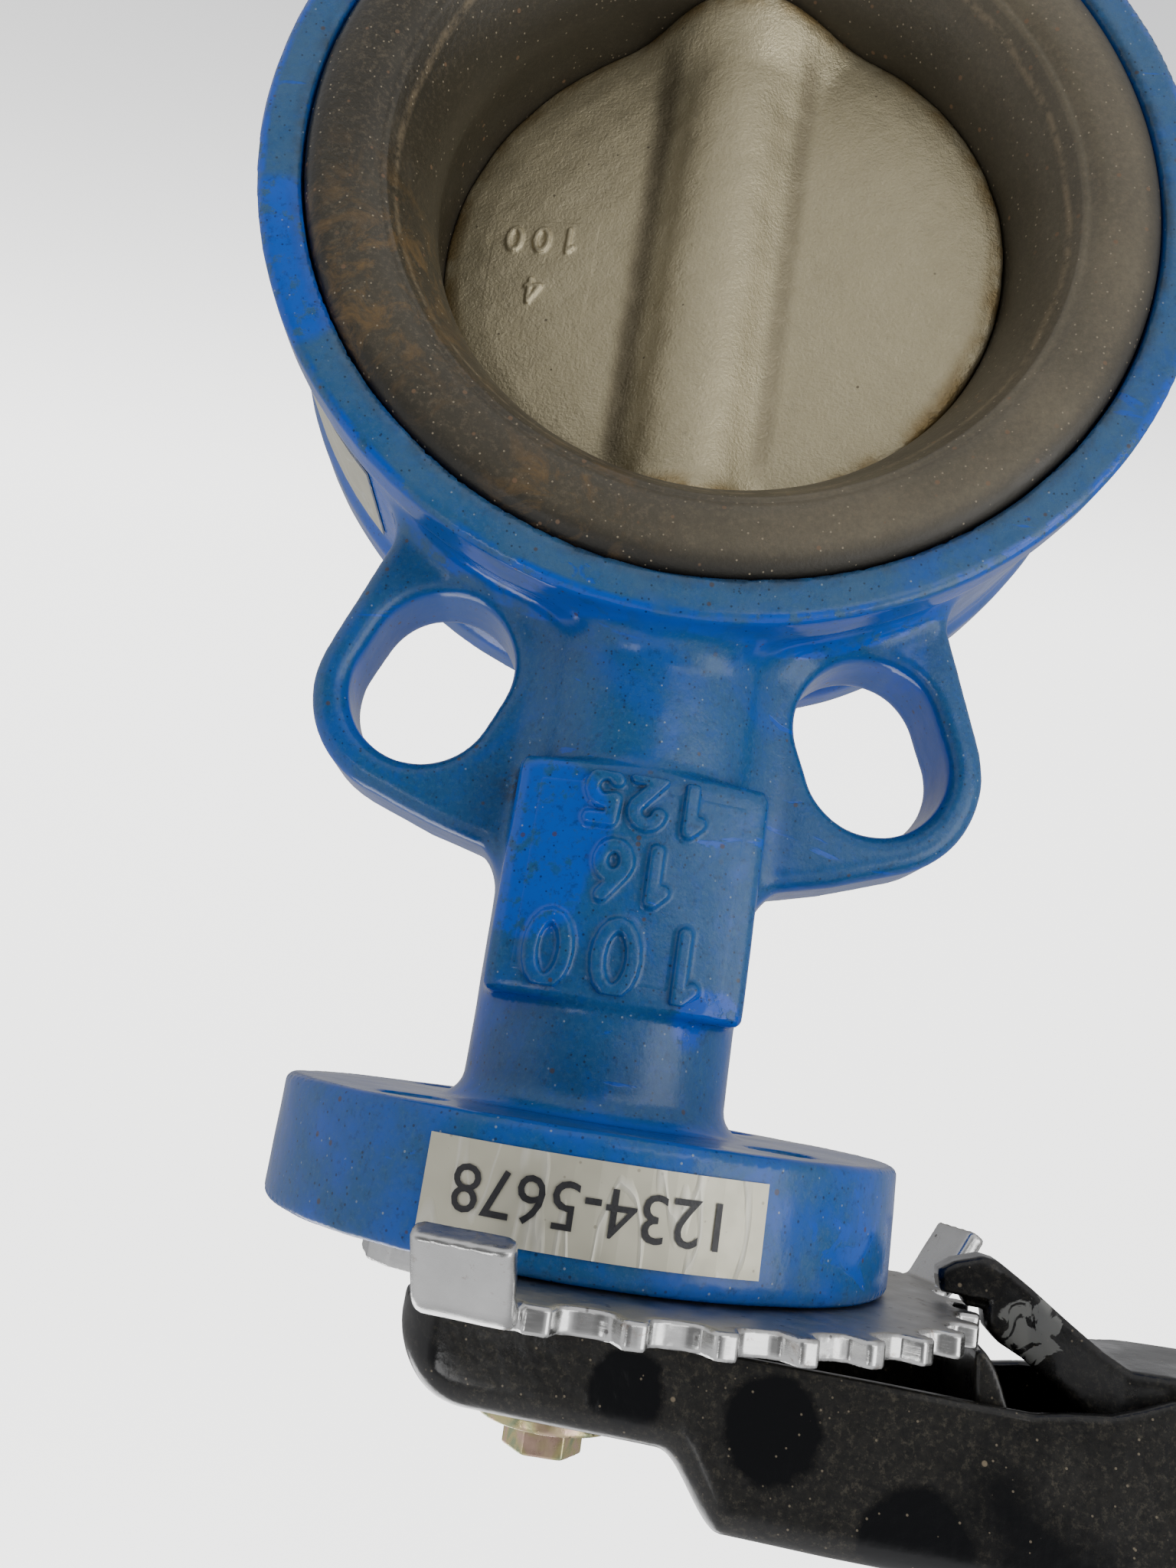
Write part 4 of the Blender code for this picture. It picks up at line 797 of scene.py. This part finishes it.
def plate_outline():
    line = [toward(55.4, -19.5), toward(57.4, -18.0), toward(57.4, -7.2), toward(58.5, -6.5)]
    for index in range(10):
        middle = index * 10.0
        line += [toward(58.5, middle - 4.1), toward(58.2, middle - 3.7), toward(55.9, middle - 2.9),
                 toward(55.3, middle - 1.6), toward(55.3, middle + 1.6), toward(55.9, middle + 2.9),
                 toward(58.2, middle + 3.7), toward(58.5, middle + 4.1)]
    line += [toward(58.5, 96.5), toward(57.4, 97.2), toward(57.4, 108.0), toward(55.4, 109.5)]
    line += [toward(36.0, 112.4), toward(27.0, 118.4)]
    line += [toward(24.0, angle) for angle in range(130, 195, 13)]
    line += arc(*toward(SCREW_CIRCLE, REAR_SCREW), 8.8, 8.8, 350 - REAR_SCREW, 190 - REAR_SCREW, 12)
    line += [(31.0, 6.0), (29.0, -12.0), (28.4, -21.0), (26.8, -28.5), (23.8, -32.2), (20.4, -34.0),
             (18.6, -40.0)]
    return line


PLATE_LINE = plate_outline()
TAB_BEND = arc(57.4, 163.4, 3.3, 3.3, 90, 30, 6)
TAB_END = TAB_BEND[-1]


def plate_field(x, y, z):
    height = np.abs(z - (PLATE_LOW + PLATE_HIGH) / 2) - 1.5
    flat = polygon(x, y, PLATE_LINE)
    r = np.hypot(x, y)
    flat = carve(flat, r - 16.0, 0.4)
    shape = overlap(flat, height, 0.35)
    for degrees in (FRONT_SCREW, REAR_SCREW):
        cx, cy = toward(SCREW_CIRCLE, degrees)
        sink = np.hypot(x - cx, y - cy) - 4.5 - np.clip(z - PLATE_LOW, 0, 4)
        shape = carve(shape, sink * 0.71, 0.3)
    for degrees, length in ((-12.6, 7.0), (102.6, 9.2)):
        dx, dy = toward(1.0, degrees)
        out, side = x * dx + y * dy, y * dx - x * dy
        lean = math.radians(60)
        tip = (TAB_END[0] + 12 * math.cos(lean), TAB_END[1] - 12 * math.sin(lean))
        bent = strokes(out, z, [[(54.0, 166.7)] + TAB_BEND + [tip]]) - 1.45
        past = (out - TAB_END[0]) * math.cos(lean) - (z - TAB_END[1]) * math.sin(lean) - length
        shape = union(shape, overlap(overlap(bent, np.abs(side) - 5.6, 1.2), past, 0.5), 0.5)
    return shape + 0.03 * ripple(x, y, z, 9.0)


plate = skin("notched_plate", plate_field, (-68, -68, 154), (38, 38, 170), 0.5 * STEP_SCALE)
place(plate, ZINC, "valve", "bright_zinc", "notch_plate")


# ---- bolts and washer ------------------------------------------------------------------------------
def hex_bolt(name, flats, low, high, radius, tip, surface, body_name, slot, node, turn=0.0):
    """A hex head from low to high with a chamfered top, and a shank down to the tip."""
    def field(x, y, z):
        head = np.full(x.shape, -1e9)
        for degrees in (0, 60, 120):
            a = math.radians(degrees) + turn
            head = np.maximum(head, np.abs(x * math.cos(a) + y * math.sin(a)) - flats / 2)
        r = np.hypot(x, y)
        chamfer = (r - flats * 0.55 + (z - high) * 1.9) * 0.46
        head = overlap(overlap(head, np.maximum(z - high, low - z), 0.18), chamfer, 0.15)
        return np.minimum(head, overlap(r - radius, np.abs(z - (low + tip) / 2) - (low - tip) / 2 - 0.2, 0.4))

    reach = flats * 0.62
    made = skin(name, field, (-reach, -reach, tip - 1), (reach, reach, high + 1), 0.25 * STEP_SCALE)
    return place(made, surface, body_name, slot, node)


def handle_washer(x, y, z):
    r = np.hypot(x, y)
    return overlap(overlap(r - 10.2, np.abs(z - 189.3) - 1.0, 0.4), 3.3 - r, 0.2)


washer = skin("stem_washer", handle_washer, (-11.5, -11.5, 187), (11.5, 11.5, 192), 0.3 * STEP_SCALE)
place(washer, YELLOW, "stem", "yellow_zinc", "handle_washer")
hex_bolt("stem_bolt", 10.0, 190.6, 194.6, 3.0, 172.6, YELLOW, "stem", "yellow_zinc", "handle_bolt",
         turn=math.radians(30))


def countersunk(name, degrees):
    """A countersunk screw with a hex socket, flush with the plate."""
    cx, cy = toward(SCREW_CIRCLE, degrees)

    def field(x, y, z):
        x, y = x - cx, y - cy
        r = np.hypot(x, y)
        shank = overlap(r - 4.0, np.abs(z - 158.7) - 8.8, 0.4)
        head = overlap((r - np.clip(z - PLATE_LOW, 0, 3) - 4.1) * 0.71, np.abs(z - 166.5) - 1.5, 0.25)
        socket = np.full(x.shape, -1e9)
        for side in (0, 60, 120):
            a = math.radians(side + degrees)
            socket = np.maximum(socket, np.abs(x * math.cos(a) + y * math.sin(a)) - 2.5)
        return carve(union(shank, head, 0.3), np.maximum(socket, 165.8 - z), 0.2)

    made = skin(name + "_head", field, (cx - 8, cy - 8, 148.5), (cx + 8, cy + 8, 169.5), 0.3 * STEP_SCALE)
    place(made, ZINC, "valve", "bright_zinc", name)


countersunk("plate_screw_front", FRONT_SCREW)
countersunk("plate_screw_rear", REAR_SCREW)


# ---- lever and trigger -----------------------------------------------------------------------------
EDGE_U = [-30, 64, 68, 73, 77, 80.5, 86, 250]
EDGE_Z = [174.4, 174.4, 173.6, 173.0, 171.5, 169.9, 169.7, 168.7]


def lever_field(u, w, z):
    rise = np.clip((u - 17.0) / 9.6, 0, 1)
    slope = np.where((rise > 0) & (rise < 1), 6 * rise * (1 - rise) * 8.6 / 9.6, 0)
    fall = np.clip((-9.0 - u) / 12.0, 0, 1)
    web = 188.0 + 8.6 * rise * rise * (3 - 2 * rise) - np.clip((u - 40) / 200, 0, 1) * 3.2
    web -= 6.0 * fall * fall + 0.35 * fall * np.sin(w * 0.75 + 1.0)
    top = (z - web) / np.sqrt(1 + slope * slope)
    qu, qw = np.abs(u - 109.3) - (130.6 - 8.5), np.abs(w) - (17.0 - 8.5)
    plan = np.hypot(np.maximum(qu, 0), np.maximum(qw, 0)) + np.minimum(np.maximum(qu, qw), 0) - 8.5
    outer = overlap(plan, top, 4.4)
    sheet = np.abs(outer + 1.25) - 1.25
    edge = np.interp(u, EDGE_U, EDGE_Z) - z
    shape = overlap(sheet, edge, 0.6)
    shape = carve(shape, np.hypot(u - 227.0, w) - 4.5, 0.5)
    shape = carve(shape, np.hypot(u, w) - 3.3, 0.3)
    return shape + 0.12 * ripple(u, w, z, 37.0, 1.0)


lever = skin("lever_pressing", lever_field, (-22, -19, 166), (242, 19, 199), 0.7 * STEP_SCALE, LEVER_TURN)
place(lever, BLACK, "stem", "black_enamel", "lever_handle")

TRIGGER_WEB = [(52.6, 160.7), (54.8, 159.1), (58.5, 157.8), (60.6, 158.1), (65.0, 160.8), (70.0, 164.2),
               (73.6, 166.6), (76.5, 168.0), (81.0, 167.6), (198.0, 164.5)]
TRIGGER_WALLS = [(198.0, 173.5), (104.0, 176.0), (100.0, 183.0), (86.0, 183.0), (79.0, 179.0), (70.0, 173.6),
                 (64.5, 170.1), (61.5, 168.8), (59.7, 167.2), (59.2, 164.8), (56.8, 164.8), (56.2, 163.6),
                 (53.2, 163.5)]
TRIGGER_SIDE = TRIGGER_WEB + TRIGGER_WALLS
PLAN_U, PLAN_W = [50, 61.2, 65, 70, 76, 81, 203], [3.4, 3.6, 4.8, 7.8, 11.6, 13.6, 13.6]


def trigger_field(u, w, z):
    side = polygon(u, z, TRIGGER_SIDE)
    plan = np.abs(w) - np.interp(u, PLAN_U, PLAN_W)
    shape = overlap(side, plan, 1.1)
    web = np.interp(u, [p[0] for p in TRIGGER_WEB], [p[1] for p in TRIGGER_WEB])
    inner = np.maximum(np.maximum(plan + 2.0, web + 2.2 - z), np.maximum(64.5 - u, u - 196.0))
    shape = carve(shape, inner, 0.5)
    shape = carve(shape, np.maximum(np.maximum(2.5 - np.abs(w), np.abs(u - 53.9) - 5.8), 163.6 - z), 0.4)
    return shape + 0.06 * ripple(u, w, z, 19.0, 2.0)


trigger = skin("trigger_pressing", trigger_field, (50, -15, 155), (200, 15, 185), 0.6 * STEP_SCALE,
               LEVER_TURN)
place(trigger, BLACK, "trigger", "black_enamel", "trigger")


STRAP_FRONT = [(56.5, 168.9), (57.0, 168.5), (57.8, 168.6), (58.9, 169.9), (59.8, 171.6), (60.7, 173.8),
               (62.0, 177.0), (63.0, 181.0), (63.3, 185.0)]
STRAP_SIDE = smooth_line(STRAP_FRONT, 3) + [(57.4, 185.0), (56.8, 174.0)]


def strap_field(u, w, z):
    return overlap(polygon(u, z, STRAP_SIDE), np.abs(w) - 14.2, 0.6)


strap = skin("latch_strap", strap_field, (55, -16, 167), (65, 16, 187), 0.5 * STEP_SCALE, LEVER_TURN)
place(strap, BLACK, "stem", "black_enamel", "latch_guide")


# ---- labels ----------------------------------------------------------------------------------------
def printed(name, text, size, radius, angle, height):
    """Numerals printed on a label: flat glyphs wrapped round a cylinder."""
    curve = bpy.data.curves.new(name, "FONT")
    curve.body = text
    curve.size = size
    curve.align_x = "CENTER"
    curve.align_y = "CENTER"
    curve.resolution_u = 3
    flat = bpy.data.objects.new(name + "_flat", curve)
    bpy.context.scene.collection.objects.link(flat)
    bpy.context.view_layer.update()
    mesh = bpy.data.meshes.new_from_object(flat)
    bpy.data.objects.remove(flat)
    for vert in mesh.vertices:
        turn = math.radians(angle) + vert.co.x / radius
        vert.co = (radius * math.sin(turn), -radius * math.cos(turn), height + vert.co.y)
    made = bpy.data.objects.new(name, mesh)
    bpy.context.scene.collection.objects.link(made)
    return made


digits = printed("flange_label_digits", "1234-5678", 0.0079, 0.0464, 0.5, 0.1560)
place(digits, INK, "valve", "label_foil")

# ---- what stays as the frame has it ----------------------------------------------------------------
KEPT = {"flange_label": FOIL, "body_label": FOIL, "seat_backing_ring": RESIN, "lower_neck_bushing": PTFE,
        "upper_neck_bushing": PTFE, "foot_bushing": PTFE, "neck_seal": SEAL, "top_seal": SEAL,
        "plug_gasket": SEAL, "thrust_washer": ZINC, "retaining_ring": SPRING, "bottom_plug": ZINC,
        "upper_stem": TURNED, "lower_stem": TURNED, "lever_hub": BLACK, "trigger_pin": ZINC,
        "trigger_spring": SPRING}
for name, surface in KEPT.items():
    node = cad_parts[name]
    for index in range(max(1, len(node.data.materials))):
        if index < len(node.material_slots):
            node.material_slots[index].material = surface
        else:
            node.data.materials.append(surface)


# ---- stage, light and camera -----------------------------------------------------------------------
def stage_sheet():
    """A pale floor that sweeps up into a wall well behind the valve."""
    floor, wall, bend = cad_box[0].z - 0.001, 0.95, 0.45
    line = [(-2.5, floor), (wall - bend, floor)]
    line += [(wall - bend + bend * math.sin(math.radians(a)), floor + bend - bend * math.cos(math.radians(a)))
             for a in range(6, 91, 6)]
    line += [(wall, 3.0)]
    verts = [(x, y, z) for x in (-3.0, 3.0) for y, z in line]
    count = len(line)
    faces = [(i, i + 1, count + i + 1, count + i) for i in range(count - 1)]
    mesh = bpy.data.meshes.new("stage_floor")
    mesh.from_pydata(verts, [], faces)
    mesh.shade_smooth()
    made = bpy.data.objects.new("stage_floor", mesh)
    bpy.context.scene.collection.objects.link(made)
    s = Shader("stage_white")
    behind = s.span(s.axis(s.place, "Y"), -0.05, 0.40, 0.12, 2.5, True)
    s.set(Base_Color=(0.82, 0.82, 0.81), Roughness=0.6, Emission_Color=(1.0, 1.0, 0.985),
          Emission_Strength=behind)
    made.data.materials.append(s.material)
    made.visible_diffuse = False
    made.visible_glossy = False


stage_sheet()


def studio_world():
    """Soft surroundings, dimmer in front of the valve and behind it, and lightest at the sides."""
    world = bpy.data.worlds.new("studio")
    bpy.context.scene.world = world
    world.use_nodes = True
    tree = world.node_tree
    coords = tree.nodes.new("ShaderNodeTexCoord")
    away = tree.nodes.new("ShaderNodeVectorMath")
    away.operation = "DOT_PRODUCT"
    away.inputs[1].default_value = Vector((0.30, -1.0, 0.05)).normalized()
    tree.links.new(coords.outputs["Generated"], away.inputs[0])
    level = tree.nodes.new("ShaderNodeMapRange")
    level.interpolation_type = "SMOOTHSTEP"
    tree.links.new(away.outputs["Value"], level.inputs["Value"])
    level.inputs["From Min"].default_value = 0.66
    level.inputs["From Max"].default_value = 0.97
    level.inputs["To Min"].default_value = 0.95
    level.inputs["To Max"].default_value = 0.20
    behind = tree.nodes.new("ShaderNodeMapRange")
    behind.interpolation_type = "SMOOTHSTEP"
    tree.links.new(away.outputs["Value"], behind.inputs["Value"])
    behind.inputs["From Min"].default_value = -0.70
    behind.inputs["From Max"].default_value = 0.30
    behind.inputs["To Min"].default_value = 0.48
    behind.inputs["To Max"].default_value = 1.0
    both = tree.nodes.new("ShaderNodeMath")
    both.operation = "MULTIPLY"
    tree.links.new(level.outputs[0], both.inputs[0])
    tree.links.new(behind.outputs[0], both.inputs[1])
    back = tree.nodes["Background"]
    back.inputs["Color"].default_value = (0.98, 0.98, 1.0, 1.0)
    tree.links.new(both.outputs[0], back.inputs["Strength"])


studio_world()


def softbox(name, place_at, aim, size, power):
    light = bpy.data.lights.new(name, "AREA")
    light.shape = "RECTANGLE"
    light.size, light.size_y = size
    light.energy = power
    made = bpy.data.objects.new(name, light)
    made.location = place_at
    made.rotation_euler = (Vector(aim) - Vector(place_at)).to_track_quat("-Z", "Y").to_euler()
    made.visible_camera = False
    bpy.context.scene.collection.objects.link(made)


softbox("side_window", (-0.90, -0.65, 0.30), (0, 0, 0.08), (0.7, 0.9), 5.5)
softbox("tab_window", (0.42, -0.75, 0.50), (0, 0, 0.15), (0.22, 0.22), 0.65)
softbox("low_window", (-0.30, -0.60, -0.04), (-0.04, 0, 0.12), (0.45, 0.14), 0.4)
softbox("rear_window", (0.3, 0.75, 0.9), (0, 0, 0.08), (0.8, 0.6), 5.0)

CAMERA_PLACE = (0.0096, -0.1940, 0.1405)
CAMERA_AIM = (0.0082, 0.0, 0.0965)
CAMERA_ROLL = -171.0
CAMERA_LENS = 28.2

camera_data = bpy.data.cameras.new("camera")
camera_data.sensor_width = 36.0
camera_data.lens = CAMERA_LENS
camera_data.clip_start = 0.01
camera = bpy.data.objects.new("camera", camera_data)
bpy.context.scene.collection.objects.link(camera)
camera.location = CAMERA_PLACE
look = (Vector(CAMERA_AIM) - camera.location).to_track_quat("-Z", "Y").to_matrix().to_4x4()
camera.rotation_euler = (look @ Matrix.Rotation(math.radians(CAMERA_ROLL), 4, "Z")).to_euler()
bpy.context.scene.camera = camera
